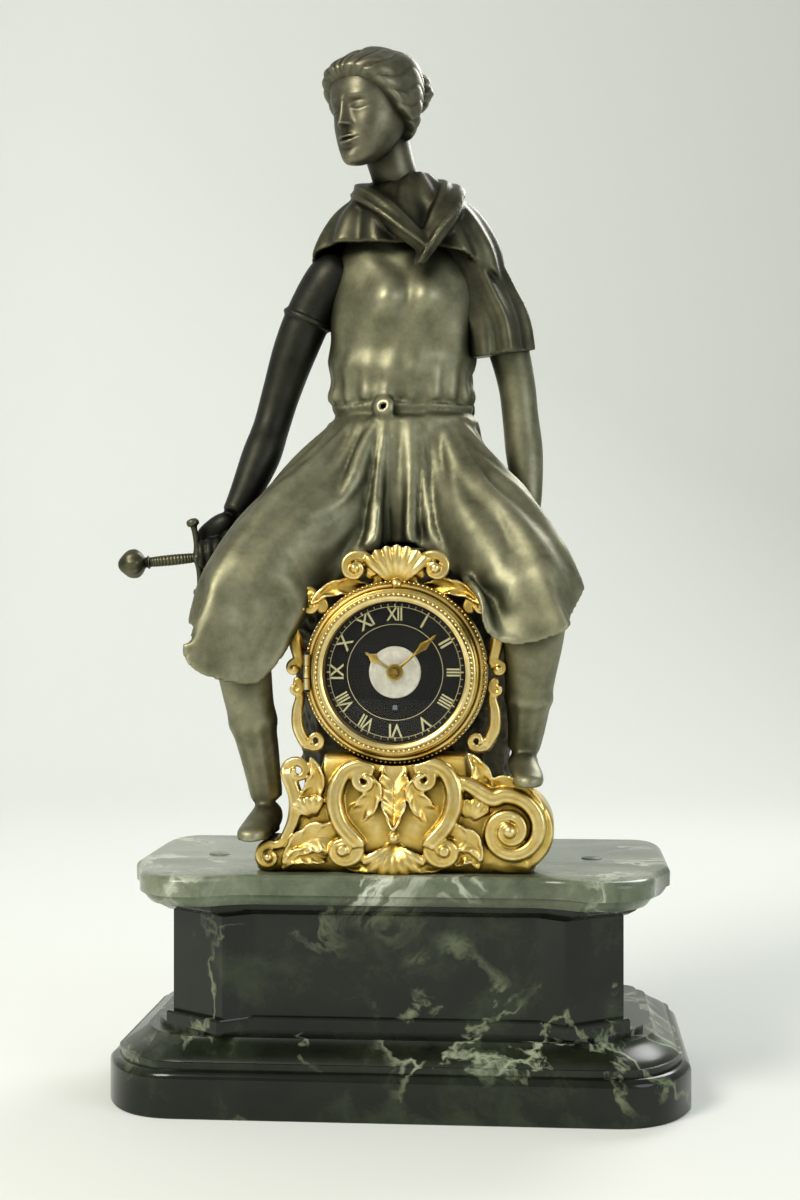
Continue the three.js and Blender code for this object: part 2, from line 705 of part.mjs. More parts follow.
function buildPlates(parent) {
  const pillars = [0.25, 0.75, 1.25, 1.75].map((turn) => new THREE.Vector2(
    pillarCircle * Math.cos(turn * Math.PI),
    pillarCircle * Math.sin(turn * Math.PI),
  ));
  const pivotHole = pivotRadius + fitGap;
  const trainHole = trainPivotRadius + fitGap;
  const pillarTip = pillarRadius * 0.6;
  const drilled = (plate, holes, front, back) => holes.reduce(
    (metal, [place, radius]) => metal.subtract(
      solidOf(rodY(radius, -front - cutOverrun, -back + cutOverrun, 8, place.x, place.y)),
    ),
    plate,
  );
  const pillarHoles = pillars.map((place) => [place, pillarTip + fitGap]);
  const front = drilled(
    solidOf(rodY(plateRadius, -frontPlateFront, -frontPlateFace, 24)),
    [
      ...pillarHoles, [centrePlace, arborRadius + fitGap], [barrelPlace, barrelArborRadius + fitGap],
      [thirdPlace, trainHole], [escapePlace, trainHole], [anchorPlace, pivotHole],
    ],
    frontPlateFront,
    frontPlateFace,
  );
  const minutePost = solidOf(rodY(arborRadius, -motionBase - wheelThickness * 4, -frontPlateFace - fitGap, 8,
    minuteWheelPlace.x, minuteWheelPlace.y));
  const clickPost = solidOf(rodY(pivotRadius, -motionBase, -frontPlateFace - fitGap, 8, clickPlace.x, clickPlace.y));
  addPiece(parent, 'front_plate', front.add(minutePost).add(clickPost), brass);
  const back = drilled(
    solidOf(rodY(plateRadius, -backPlateFace, -backPlateBack, 24)),
    [
      ...pillarHoles, [centrePlace, pivotHole], [barrelPlace, barrelArborRadius + fitGap],
      [thirdPlace, trainHole], [escapePlace, trainHole], [anchorPlace, arborRadius + fitGap],
    ],
    backPlateFace,
    backPlateBack,
  );
  addPiece(parent, 'back_plate', back, brass);
  pillars.forEach((place, i) => {
    const waist = pillarRadius * 0.75;
    const pillar = turnedY([
      [0, -frontPlateFront], [pillarTip, -frontPlateFront], [pillarTip, -frontPlateFace],
      [pillarRadius, -frontPlateFace], [waist, -frontPlateFace + plateSpacing * 0.15],
      [waist, -backPlateFace - plateSpacing * 0.15], [pillarRadius, -backPlateFace], [pillarTip, -backPlateFace],
      [pillarTip, -backPlateBack], [0, -backPlateBack],
    ], 8);
    addPiece(parent, `pillar_${i + 1}`, moved(pillar, place.x, 0, place.y), brass);
  });
}

// A thin arbor between the plates, thinner still at its two pivots
function trainArbor(place) {
  return moved(turnedY([
    [0, -frontPlateFront], [trainPivotRadius, -frontPlateFront], [trainPivotRadius, -frontPlateFace + fitGap],
    [trainArborRadius, -frontPlateFace + fitGap], [trainArborRadius, -backPlateFace - fitGap],
    [trainPivotRadius, -backPlateFace - fitGap], [trainPivotRadius, -backPlateBack], [0, -backPlateBack],
  ], 8), place.x, 0, place.y);
}

const pinionWidth = wheelThickness * 4;

function buildTrain(parent) {
  const drumFrontFace = greatWheelFront + barrelLength;
  const barrelWall = drumWall / 2;
  const greatWheel = gearPlate({ teeth: barrelTeeth, module: barrelModule, ...wheelToothShares }, barrelTurn,
    -greatWheelFront, -greatWheelFront + wheelThickness, barrelPlace);
  const cup = moved(turnedY([
    [0, -greatWheelFront - barrelWall], [barrelRadius - barrelWall, -greatWheelFront - barrelWall],
    [barrelRadius - barrelWall, -drumFrontFace], [barrelRadius, -drumFrontFace],
    [barrelRadius, -greatWheelFront + wheelThickness / 2], [0, -greatWheelFront + wheelThickness / 2],
  ], 20), barrelPlace.x, 0, barrelPlace.y);
  const arborBore = solidOf(rodY(barrelArborRadius + fitGap, -frontPlateFace, -backPlateFace, 12,
    barrelPlace.x, barrelPlace.y));
  addPiece(parent, 'going_barrel', joined(greatWheel, cup).subtract(arborBore), brass);

  const coverRadius = barrelRadius - barrelWall - fitGap * 2;
  const cover = solidOf(rodY(coverRadius, -drumFrontFace, -drumFrontFace + barrelWall, 20,
    barrelPlace.x, barrelPlace.y)).subtract(arborBore);
  addPiece(parent, 'barrel_cover', cover, brass);
  const springFront = drumFrontFace - barrelWall - fitGap;
  const springBack = greatWheelFront + barrelWall + fitGap;
  const spring = turnedY([
    [barrelRadius * 0.4, -springFront], [coverRadius, -springFront], [coverRadius, -springBack],
    [barrelRadius * 0.4, -springBack],
  ], 16);
  addPiece(parent, 'mainspring', moved(spring, barrelPlace.x, 0, barrelPlace.y), steel);

  const squareHalf = barrelArborRadius * Math.SQRT1_2;
  const barrelArbor = joined(
    rodY(barrelArborRadius, -motionBase, -backPlateBack, 12, barrelPlace.x, barrelPlace.y),
    block(-squareHalf, squareHalf, -drumFront, -motionBase, barrelPlace.y - squareHalf, barrelPlace.y + squareHalf),
  );
  addPiece(parent, 'barrel_arbor', barrelArbor, steel);

  const centrePinion = gearPlate({ teeth: centrePinionTeeth, module: barrelModule, ...pinionToothShares },
    centrePinionTurn, -greatWheelFront - wheelThickness, -greatWheelFront + wheelThickness * 2, centrePlace);
  const centrePlate = gearPlate({ teeth: centreTeeth, module: trainModule, ...wheelToothShares }, centreTurn,
    -centreWheelFront, -centreWheelFront + wheelThickness, centrePlace,
    { inner: arborRadius * 3, outer: centreTeeth * trainModule / 2 * 0.82, count: 4 });
  const centreArbor = turnedY([
    [0, -handNutFront - fitGap], [arborRadius, -handNutFront - fitGap], [arborRadius, -backPlateFace - fitGap],
    [pivotRadius, -backPlateFace - fitGap], [pivotRadius, -backPlateBack], [0, -backPlateBack],
  ], 8);
  addPiece(parent, 'centre_wheel', joined(centrePlate, centrePinion, centreArbor), brass);

  const thirdPinion = gearPlate({ teeth: thirdPinionTeeth, module: trainModule, ...pinionToothShares },
    thirdPinionTurn, -centreWheelFront - wheelThickness, -centreWheelFront + pinionWidth / 2, thirdPlace);
  const thirdPlate = gearPlate({ teeth: thirdTeeth, module: escapeModule, ...wheelToothShares }, thirdTurn,
    -thirdWheelFront, -thirdWheelFront + wheelThickness, thirdPlace,
    { inner: trainArborRadius * 5, outer: thirdTeeth * escapeModule / 2 * 0.82, count: 4 });
  addPiece(parent, 'third_wheel', joined(thirdPlate, thirdPinion, trainArbor(thirdPlace)), brass);

  const escapePinion = gearPlate({ teeth: escapePinionTeeth, module: escapeModule, ...pinionToothShares },
    escapePinionTurn, -thirdWheelFront - wheelThickness, -thirdWheelFront + pinionWidth / 2, escapePlace);
  const sawtooth = new THREE.Shape();
  const toothDepth = escapeRadius * 0.13;
  for (let i = 0; i < escapeTeeth; i += 1) {
    const start = i / escapeTeeth * 2 * Math.PI;
    const tip = (i + 0.3) / escapeTeeth * 2 * Math.PI;
    const inner = escapeRadius - toothDepth;
    if (i === 0) sawtooth.moveTo(inner, 0);
    else sawtooth.lineTo(inner * Math.cos(start), inner * Math.sin(start));
    sawtooth.lineTo(escapeRadius * Math.cos(tip), escapeRadius * Math.sin(tip));
  }
  sawtooth.closePath();
  const escapePlate = moved(plateY(sawtooth, 0, wheelThickness / 2), escapePlace.x, -escapeWheelFront, escapePlace.y);
  addPiece(parent, 'escape_wheel', joined(escapePlate, escapePinion, trainArbor(escapePlace)), brass);
}

function buildMotionWork(parent) {
  const cannonBack = motionBase;
  const cannonFront = cannonBack + wheelThickness * 1.8;
  const wheelFront = cannonBack + wheelThickness * 1.4;
  const hourBack = cannonFront + wheelThickness;
  const hourFront = hourBack + wheelThickness;
  const arborHole = solidOf(rodY(arborRadius + fitGap, -drumFront - bezelDepth, 0, 10));
  const cannon = joined(
    gearPlate({ teeth: cannonTeeth, module: motionModule, ...pinionToothShares }, cannonTurn,
      -cannonFront, -cannonBack, centrePlace),
    rodY(cannonPipeRadius, -minuteHandFront, -cannonFront + fitGap, 12),
  );
  addPiece(parent, 'cannon_pinion', cannon.subtract(arborHole), steel);

  const postHole = solidOf(rodY(arborRadius + fitGap, -drumFront, -frontPlateFace, 10,
    minuteWheelPlace.x, minuteWheelPlace.y));
  const minuteWheel = joined(
    gearPlate({ teeth: minuteWheelTeeth, module: motionModule, ...wheelToothShares }, minuteWheelTurn,
      -wheelFront, -wheelFront + wheelThickness, minuteWheelPlace),
    gearPlate({ teeth: minutePinionTeeth, module: hourModule, ...pinionToothShares }, minutePinionTurn,
      -hourFront - wheelThickness / 2, -wheelFront + wheelThickness / 2, minuteWheelPlace),
  );
  addPiece(parent, 'minute_wheel', minuteWheel.subtract(postHole), brass);

  const pipeBore = solidOf(rodY(cannonPipeRadius + fitGap, -drumFront - bezelDepth, -frontPlateFace, 16));
  const hourWheel = joined(
    gearPlate({ teeth: hourTeeth, module: hourModule, ...wheelToothShares }, hourTurnInMesh,
      -hourFront, -hourBack, centrePlace),
    rodY(hourPipeRadius, -hourHandFront, -hourFront + fitGap, 14),
  );
  addPiece(parent, 'hour_wheel', hourWheel.subtract(pipeBore), brass);
}

const clickReach = ratchetRadius * 1.7;
const clickAngle = Math.PI * 0.83;
const clickPlace = new THREE.Vector2(
  clickReach * Math.cos(clickAngle),
  -barrelDrop + clickReach * Math.sin(clickAngle),
);

function buildRatchet(parent) {
  const ratchetBack = frontPlateFront + fitGap;
  const ratchetFront = ratchetBack + wheelThickness;
  const teeth = new THREE.Shape();
  const inner = ratchetRadius * 0.84;
  for (let i = 0; i < ratchetTeeth; i += 1) {
    const start = i / ratchetTeeth * 2 * Math.PI;
    const tip = (i + 0.12) / ratchetTeeth * 2 * Math.PI;
    if (i === 0) teeth.moveTo(inner, 0);
    else teeth.lineTo(inner * Math.cos(start), inner * Math.sin(start));
    teeth.lineTo(ratchetRadius * Math.cos(tip), ratchetRadius * Math.sin(tip));
  }
  teeth.closePath();
  const plate = solidOf(moved(plateY(teeth, -ratchetFront, -ratchetBack), barrelPlace.x, 0, barrelPlace.y));
  const bore = solidOf(rodY(barrelArborRadius + fitGap, -drumFront, 0, 12, barrelPlace.x, barrelPlace.y));
  addPiece(parent, 'ratchet_wheel', plate.subtract(bore), steel);

  const width = ratchetRadius * 0.22;
  const tipReach = ratchetRadius + width + fitGap * 2;
  const tipAngle = Math.PI * 0.68;
  const tip = new THREE.Vector2(
    tipReach * Math.cos(tipAngle) - clickPlace.x,
    -barrelDrop + tipReach * Math.sin(tipAngle) - clickPlace.y,
  );
  const along = towards(centrePlace, tip);
  const lever = new THREE.Shape();
  lever.absarc(0, 0, width * 1.2, along + Math.PI * 0.25, along + Math.PI * 1.75, false);
  lever.lineTo(tip.x, tip.y);
  const click = solidOf(moved(plateY(lever, -ratchetFront, -ratchetBack), clickPlace.x, 0, clickPlace.y))
    .subtract(solidOf(rodY(pivotRadius + fitGap, -drumFront, 0, 8, clickPlace.x, clickPlace.y)));
  addPiece(parent, 'click', click, steel);
}

function buildPendulum(parent) {
  const anchorFront = escapeWheelFront + wheelThickness * 0.25;
  const reach = anchorRise - escapeRise;
  const palletRadius = escapeRadius + wheelThickness * 0.45;
  const palletX = palletRadius * Math.SQRT1_2;
  const palletDrop = reach - palletX;
  const palletWidth = wheelThickness;
  const anchorShape = new THREE.Shape();
  anchorShape.moveTo(0, arborRadius * 2.2);
  anchorShape.quadraticCurveTo(palletX + palletWidth * 2, arborRadius, palletX + palletWidth, -palletDrop * 0.9);
  anchorShape.lineTo(palletX, -palletDrop);
  anchorShape.quadraticCurveTo(palletX * 0.7, -arborRadius * 2, 0, -arborRadius * 2);
  anchorShape.quadraticCurveTo(-palletX * 0.7, -arborRadius * 2, -palletX, -palletDrop);
  anchorShape.lineTo(-palletX - palletWidth, -palletDrop * 0.9);
  anchorShape.quadraticCurveTo(-palletX - palletWidth * 2, arborRadius, 0, arborRadius * 2.2);
  const anchorPlate = new THREE.ExtrudeGeometry(anchorShape, {
    depth: wheelThickness, bevelEnabled: false, curveSegments: 5,
  }).rotateX(Math.PI / 2);
  moved(anchorPlate, anchorPlace.x, -anchorFront + wheelThickness, anchorPlace.y);
  const crutchBack = backPlateBack - wheelThickness * 2.5;
  const anchorArbor = moved(turnedY([
    [0, -frontPlateFront], [pivotRadius, -frontPlateFront], [pivotRadius, -frontPlateFace + fitGap],
    [arborRadius, -frontPlateFace + fitGap], [arborRadius, -crutchBack], [0, -crutchBack],
  ], 8), anchorPlace.x, 0, anchorPlace.y);
  addPiece(parent, 'anchor', joined(anchorPlate, anchorArbor), steel);

  const crutchFront = backPlateBack - wheelThickness;
  const forkRise = anchorRise * 0.2;
  const prongGap = pendulumRodRadius + fitGap * 2;
  const collar = arborRadius * 2;
  const armHalf = wheelThickness * 0.7;
  const crutch = joined(
    rodY(collar, -crutchFront, -crutchBack, 12, anchorPlace.x, anchorPlace.y),
    block(-armHalf, armHalf, -crutchFront, -crutchBack, forkRise, anchorRise),
    block(-prongGap - armHalf, prongGap + armHalf, -crutchFront, -crutchBack, forkRise - armHalf, forkRise + armHalf),
    block(-prongGap - armHalf, -prongGap, -crutchFront, pendulumRodRadius * 2, forkRise - armHalf,
      forkRise + armHalf),
    block(prongGap, prongGap + armHalf, -crutchFront, pendulumRodRadius * 2, forkRise - armHalf, forkRise + armHalf),
  ).subtract(solidOf(rodY(arborRadius + fitGap, -frontPlateFace, backPlateBack, 10, anchorPlace.x, anchorPlace.y)));
  addPiece(parent, 'crutch', crutch, brass);

  const cockLow = anchorRise + collar * 2.4;
  const cockHigh = cockLow + collar * 2;
  const springHalf = pendulumRodRadius * 1.7;
  const springThin = fitGap;
  const springLow = anchorRise - fitGap;
  const slit = solidOf(block(-springHalf - fitGap, springHalf + fitGap, -springThin / 2 - fitGap,
    springThin / 2 + fitGap, cockLow - cutOverrun, cockHigh - collar / 2));
  const cock = solidOf(block(-collar * 2, collar * 2, -backPlateBack, collar * 1.4, cockLow, cockHigh));
  addPiece(parent, 'suspension_cock', cock.subtract(slit), brass);
  const spring = block(-springHalf, springHalf, -springThin / 2, springThin / 2, springLow,
    cockHigh - collar / 2 - fitGap);
  addPiece(parent, 'suspension_spring', spring, steel);

  const bobHeight = anchorRise - pendulumLength;
  const nutHigh = bobHeight - bobRadius - fitGap;
  const nutLow = nutHigh - ratingNutHeight;
  const hookHigh = springLow - fitGap;
  const rod = joined(
    block(-springHalf, springHalf, -pendulumRodRadius * 1.3, pendulumRodRadius * 1.3, hookHigh - collar, hookHigh),
    rodZ(pendulumRodRadius, nutLow - pendulumRodRadius, hookHigh - collar / 2, 8),
  );
  addPiece(parent, 'pendulum_rod', rod, steel);
  const rodBore = solidOf(rodZ(pendulumRodRadius + fitGap, nutLow - cutOverrun, 0, 8));
  const lens = turnedY([
    [0, -bobThickness / 2], [bobRadius * 0.6, -bobThickness * 0.4], [bobRadius * 0.96, -bobThickness * 0.12],
    [bobRadius, 0], [bobRadius * 0.96, bobThickness * 0.12], [bobRadius * 0.6, bobThickness * 0.4],
    [0, bobThickness / 2],
  ], 20);
  addPiece(parent, 'pendulum_bob', solidOf(moved(lens, 0, 0, bobHeight)).subtract(rodBore), brass);
  const nut = solidOf(rodZ(ratingNutRadius, nutLow, nutHigh, 12)).subtract(rodBore);
  addPiece(parent, 'rating_nut', nut, brass);
}

// Rings and limbs for the cast pieces

const up = new THREE.Vector3(0, 0, 1);
const backwards = new THREE.Vector3(0, 1, 0);

// A level ring, with folds that swell and sink round it
function ovalRing(x, y, z, halfWidth, halfDepth, { sides = 14, lean = 0, folds = 0, foldShare = 0, phase = 0 } = {}) {
  return Array.from({ length: sides }, (_, i) => {
    const turn = i / sides * 2 * Math.PI;
    const swell = 1 + foldShare * Math.cos(folds * turn + phase);
    const across = halfWidth * swell * Math.cos(turn);
    return new THREE.Vector3(x + across, y + halfDepth * swell * Math.sin(turn), z + lean * across);
  });
}

// A limb follows a path of [x, y, z, half width, half depth], with rings square to it and rounded ends
function limb(path, { sides = 10, reference = backwards, grow = 0, folds = 0, foldShare = 0, round = [true, true] } = {}) {
  const centres = path.map(([x, y, z]) => new THREE.Vector3(x, y, z));
  const ringAt = (centre, tangent, halfWidth, halfDepth, phase) => {
    const across = new THREE.Vector3().crossVectors(reference, tangent).normalize();
    const deep = new THREE.Vector3().crossVectors(tangent, across);
    return Array.from({ length: sides }, (_, i) => {
      const turn = i / sides * 2 * Math.PI;
      const swell = 1 + foldShare * Math.cos(folds * turn + phase);
      return centre.clone()
        .addScaledVector(across, (halfWidth + grow) * swell * Math.cos(turn))
        .addScaledVector(deep, (halfDepth + grow) * swell * Math.sin(turn));
    });
  };
  const rings = [];
  path.forEach(([, , , halfWidth, halfDepth], i) => {
    const before = centres[Math.max(i - 1, 0)];
    const after = centres[Math.min(i + 1, path.length - 1)];
    const tangent = new THREE.Vector3().subVectors(after, before).normalize();
    const capReach = (Math.min(halfWidth, halfDepth) + grow) * 0.55;
    if (i === 0 && round[0]) {
      rings.push(ringAt(centres[i].clone().addScaledVector(tangent, -capReach), tangent,
        halfWidth * 0.62, halfDepth * 0.62, i));
    }
    rings.push(ringAt(centres[i], tangent, halfWidth, halfDepth, i));
    if (i === path.length - 1 && round[1]) {
      rings.push(ringAt(centres[i].clone().addScaledVector(tangent, capReach), tangent,
        halfWidth * 0.62, halfDepth * 0.62, i));
    }
  });
  return loft(rings);
}

// Tables of shares are in hundredths of the size that they follow
function scaled(shares, size) {
  return shares.map((row) => row.map((share) => share * size / 100));
}

// Gilt case front: a moulded rim round the dial, with a leaf crest and two scrolls hung at its sides

const crestShares = [
  [0, 0, 96, 16, 7], [0, -2, 116, 20, 9], [0, -3, 132, 12, 7], [0, -2, 141, 4, 4],
];
const crestLeafShares = [
  [14, 0, 92, 12, 6], [34, -3, 104, 14, 9], [46, -5, 118, 10, 8], [40, -5, 128, 5, 5], [33, -4, 124, 3, 3],
];
const sideScrollShares = [
  [84, 2, 66, 7, 6], [101, 0, 50, 10, 8], [107, -2, 22, 9, 9], [100, -1, -8, 10, 8], [103, 0, -36, 9, 8],
  [96, 1, -62, 8, 7], [80, 2, -80, 6, 6],
];

function mirroredPath(path) {
  return path.map(([x, ...rest]) => [-x, ...rest]);
}

function caseOrnaments(grow) {
  const place = (shares) => scaled(shares, caseRimRadius)
    .map(([x, y, z, wide, deep]) => [x, y - drumFront + caseRimDepth / 2, z, wide, deep]);
  const paths = [place(crestShares), place(crestLeafShares), mirroredPath(place(crestLeafShares)),
    place(sideScrollShares), mirroredPath(place(sideScrollShares))];
  return paths.map((path) => solidOf(limb(path, { sides: 7, grow }))).reduce((whole, next) => whole.add(next));
}

function buildCaseFront(parent) {
  const inner = drumRadius + fitGap;
  const back = -drumFront + caseRimDepth;
  const rim = turnedY([
    [inner, back], [inner, -drumFront], [inner + fitGap * 2, -drumFront - fitGap * 2],
    [caseRimRadius - fitGap * 4, -drumFront - fitGap * 2], [caseRimRadius, -drumFront + caseRimDepth * 0.15],
    [caseRimRadius - fitGap * 4, -drumFront + caseRimDepth * 0.35],
    [caseRimRadius - fitGap * 2, back],
  ], 36);
  const bore = solidOf(rodY(inner, -drumFront - bezelDepth * 2, back + caseRimDepth, 36));
  const knuckles = fixedKnuckles(bezelHingeX, bezelHingeY, -inner, bezelHingeY, back);
  const notch = solidOf(rodZ(hingeKnuckleRadius + fitGap * 2, -hingeKnuckleLength / 2 - fitGap * 2,
    hingeKnuckleLength / 2 + fitGap * 2, 12, bezelHingeX, bezelHingeY));
  const cast = solidOf(rim).add(caseOrnaments(0));
  const clearOfBezel = solidOf(block(-caseRimRadius * 2, caseRimRadius * 2, -drumFront * 2, -bezelBack,
    -caseRimRadius * 1.4, caseRimRadius * 0.9));
  const trimmed = cast.subtract(bore).subtract(clearOfBezel);
  const hinged = knuckles.reduce((whole, next) => whole.add(next), trimmed);
  addPiece(parent, 'case_front', hinged.subtract(notch).subtract(hingeBore(bezelHingeX, bezelHingeY)), gilt);
}

// Scrolled base: a bowed apron between two volutes, the right one higher, on which the figure's feet rest

const apronShares = [
  [-50, 0], [-50, 7], [-41, 11], [-36, 22], [-28, 30], [-25, 42], [25, 42], [30, 33], [38, 26], [42, 14],
  [50, 9], [50, 0],
];
const scrollRibShares = [
  [31, -41, 34, 4, 4], [36, -43, 26, 6, 5], [30, -45, 17, 7, 6], [18, -45, 12, 7, 6], [8, -45, 16, 5, 5],
  [9, -45, 22, 4, 4], [15, -45, 22, 3, 3],
];
const shellShares = [
  [0, -41, 37, 6, 4], [0, -44, 30, 10, 6], [0, -45, 20, 8, 6], [0, -45, 8, 5, 5],
];

function buildScrollBase(parent) {
  const width = scrollBaseWidth;
  const outline = new THREE.Shape();
  scaled(apronShares, width).forEach(([x, z], i) => {
    if (i === 0) outline.moveTo(x, plinthTop + z);
    else outline.lineTo(x, plinthTop + z);
  });
  outline.closePath();
  const back = -scrollBaseBack;
  const apron = plateY(outline, -scrollBaseFront * 0.86, back);
  const lift = (path) => path.map(([x, y, z, wide, deep]) => [x, y, plinthTop + z, wide, deep]);
  const rib = lift(scaled(scrollRibShares, width));
  const leftRadius = leftFootRest / 2;
  const rightRadius = rightFootRest / 2;
  const leftX = -width / 2 + leftRadius;
  const rightX = width / 2 - rightRadius * 0.6;
  const volute = (x, radius) => moved(turnedY([
    [0, -scrollBaseFront], [radius * 0.4, -scrollBaseFront], [radius * 0.5, -scrollBaseFront * 0.96],
    [radius * 0.85, -scrollBaseFront * 0.96], [radius, -scrollBaseFront * 0.9], [radius, back], [0, back],
  ], 16), x, 0, plinthTop + radius);
  const cast = joined(
    apron,
    limb(rib, { sides: 7 }),
    limb(mirroredPath(rib), { sides: 7 }),
    limb(lift(scaled(shellShares, width)), { sides: 8 }),
    volute(leftX, leftRadius),
    volute(rightX, rightRadius),
  );
  const floor = solidOf(block(-width, width, -plinthDepth, plinthDepth, -plinthTop, plinthTop));
  const saddle = solidOf(rodY(caseRimRadius + fitGap, -plinthDepth, plinthDepth, 40, 0, dialHeight));
  const overhang = solidOf(block(-width, width, -plinthDepth, -scrollBaseFront, 0, dialHeight));
  addPiece(parent, 'scroll_base', cast.subtract(floor).subtract(saddle).subtract(overhang), gilt);
}

// The hollow mound that carries the figure, with the case drum through it and an open back for the pendulum

const moundShares = [
  // height up the mound, half width, front, back
  [0, 36, 19, 30], [12, 34.5, 18, 30], [38, 36, 18, 30], [62, 38, 19, 30], [84, 43, 20, 30], [94, 47, 21, 30],
  [100, 46.5, 20.5, 30],
];

function moundSkin(inset) {
  const rise = seatHeight - plinthTop;
  return loft(moundShares.map(([heightShare, halfShare, frontShare, backShare], i) => {
    const [half, front, back] = [halfShare, frontShare, backShare].map((share) => share * rise / 100 - inset);
    const capInset = i === moundShares.length - 1 ? inset : 0;
    const z = plinthTop + heightShare * rise / 100 - capInset;
    return ovalRing(0, (back - front) / 2, z, half, (front + back) / 2, { sides: 18, folds: 6, foldShare: 0.025,
      phase: i });
  }));
}

function buildMound(parent) {
  const outer = solidOf(moundSkin(0));
  const cavity = solidOf(moundSkin(moundWall));
  const floorless = solidOf(block(-plinthWidth, plinthWidth, -plinthDepth, plinthDepth, 0, plinthTop));
  const deepCavity = cavity.add(solidOf(block(-seatLugHeight * 3, seatLugHeight * 3, -seatLugHeight, moundBack / 2,
    plinthTop - cutOverrun, plinthTop + seatLugHeight)));
  const lugHalf = seatLugHeight;
  const lug = solidOf(block(-lugHalf, lugHalf, -seatBoltForward - lugHalf * 1.4, -seatBoltForward + lugHalf * 0.8,
    plinthTop, plinthTop + seatLugHeight));
  const bore = solidOf(rodY(drumRadius + fitGap, -plinthDepth, plinthDepth, 36, 0, dialHeight));
  const archHalf = bobRadius * 2;
  const arch = solidOf(block(-archHalf, archHalf, moundBack / 2, plinthDepth, plinthTop + seatLugHeight, dialHeight));
  const behind = solidOf(block(-plinthWidth, plinthWidth, moundBack, plinthDepth * 2, 0, seatHeight * 2));
  const boltHole = solidOf(rodZ(seatBoltRadius + fitGap, 0, plinthTop + seatLugHeight * 2, 8, 0, -seatBoltForward));
  const shell = outer.subtract(deepCavity).add(lug);
  addPiece(parent, 'seat_mound', shell.subtract(floorless).subtract(bore).subtract(arch).subtract(behind)
    .subtract(boltHole), darkBronze);
}

// Figure, seated. Its shares are hundredths of the sitting height, measured from the middle of the seat.

const torsoShares = [
  [-0.6, 4.5, 0, 15.5, 10], [-0.8, 3.6, 7, 16.6, 12.4], [-0.9, 3.8, 16, 15.8, 11.4], [-0.5, 4.2, 25, 13.8, 9.6],
  [-0.4, 4.2, 27, 14.6, 10.3], [-0.3, 4.2, 29.5, 13.9, 9.7], [0.2, 3.8, 38, 14.6, 10], [0.5, 2.9, 47, 16.6, 11],
  [0.4, 2.8, 54.5, 17, 10.2], [0, 2.8, 60.3, 14.4, 8.4], [0, 2.6, 65, 8.8, 6.6], [0, 2.2, 69, 5.6, 5.6],
];
const lapShares = [
  [-0.5, 6, 9, 15, 8], [-0.5, -4, 8, 17.5, 7], [-0.5, -13, 6.2, 17, 5.5],
];
const rightThighShares = [
  [-8, 2, 8.6, 9.5, 9], [-19, -9, 4.5, 9.6, 8.8], [-29.5, -19.5, -9, 7.8, 7.8],
];
const leftThighShares = [
  [8, 2, 8.6, 9.5, 9], [17.5, -8, 4, 9.4, 8.6], [25.5, -18, -11.5, 7.6, 7.6],
];
const rightCalfShares = [
  // across, back, share of the way up from the ankle to the knee, half width, half depth
  [-25.6, -14, 0, 3.6, 3.8], [-27, -15.4, 0.3, 4.7, 5.2], [-28.6, -17.4, 0.65, 5.6, 6], [-29.4, -19, 1, 6.6, 6.6],
];
const leftCalfShares = [
  [24.6, -13.5, 0, 3.5, 3.7], [24.9, -14.6, 0.3, 4.4, 5], [25.6, -16.4, 0.65, 5.4, 5.8], [25.6, -18, 1, 6.6, 6.6],
];
const rightDrapeShares = [
  [-31.5, -6.5, 4.6, 7.4, 7], [-33, -11, -3.5, 8, 8], [-31.5, -15, -13, 8.2, 8.2], [-29.5, -16.6, -23, 6.6, 6.8],
  [-27.8, -16.4, -31, 4.6, 5],
];
const leftDrapeShares = [
  [24.5, -10, -3, 7, 7], [25.8, -15, -12, 7.8, 8], [26, -16.4, -22, 6.8, 7], [25.2, -15.6, -31, 5.2, 5.6],
  [25, -14.6, -37, 4.2, 4.6],
];
const kneeRise = { right: -9, left: -12 };
const footShares = [
  // across from the ankle, forward from the heel, half width, half depth
  [0, -3, 2.8, 2.2], [-0.4, 3, 3, 3], [-1, 9.5, 3.1, 2], [-1.4, 14.5, 2.2, 1.3],
];
const rightArmShares = [
  [-17.6, 2.4, 56.4, 5.4, 5.6], [-20.4, 3, 49, 4.9, 5.2], [-24.4, 3.6, 37, 4.2, 4.5], [-28, 3.4, 26, 3.7, 3.9],
  [-30.6, -0.6, 16, 4, 4], [-33.4, -5, 6.4, 2.9, 3],
];
const rightFistShares = [
  [-33.4, -5.4, 5.6, 3, 3.2], [-34.8, -7.4, 1.4, 3.8, 3.9], [-35.6, -8.6, -2.4, 3.1, 3.4],
];
const leftArmShares = [
  [18.2, 2.8, 57.2, 5.4, 5.6], [20.8, 4.6, 49, 4.9, 5.2], [23.4, 7, 37, 4.2, 4.4], [24.9, 8.8, 28.4, 3.7, 3.9],
  [25, 8, 18, 3.9, 4], [24.6, 6.6, 8, 2.7, 2.7],
];
const leftHandShares = [
  [24.6, 6.8, 6, 2.9, 2.5], [25, 4.6, 2.6, 3.5, 2.3], [25.8, 0.4, 1.6, 3.5, 1.4], [26.4, -3.2, 1.2, 2.6, 1.1],
];

function pathOf(shares) {
  return scaled(shares, sittingHeight);
}

function footRestLevel(footRest) {
  return plinthTop + footRest - seatHeight + fitGap;
}

// A calf reaches from its ankle, which the foot rest sets, up to the knee
function calfPath(shares, footRest, knee) {
  const sole = footRestLevel(footRest);
  const ankle = sole + footHeightShare * sittingHeight;
  const kneeLevel = knee * sittingHeight / 100;
  return shares.map(([x, y, rise, wide, deep]) => [
    x * sittingHeight / 100, y * sittingHeight / 100, ankle + (kneeLevel - ankle) * rise,
    wide * sittingHeight / 100, deep * sittingHeight / 100,
  ]);
}

const footHeightShare = 0.065;

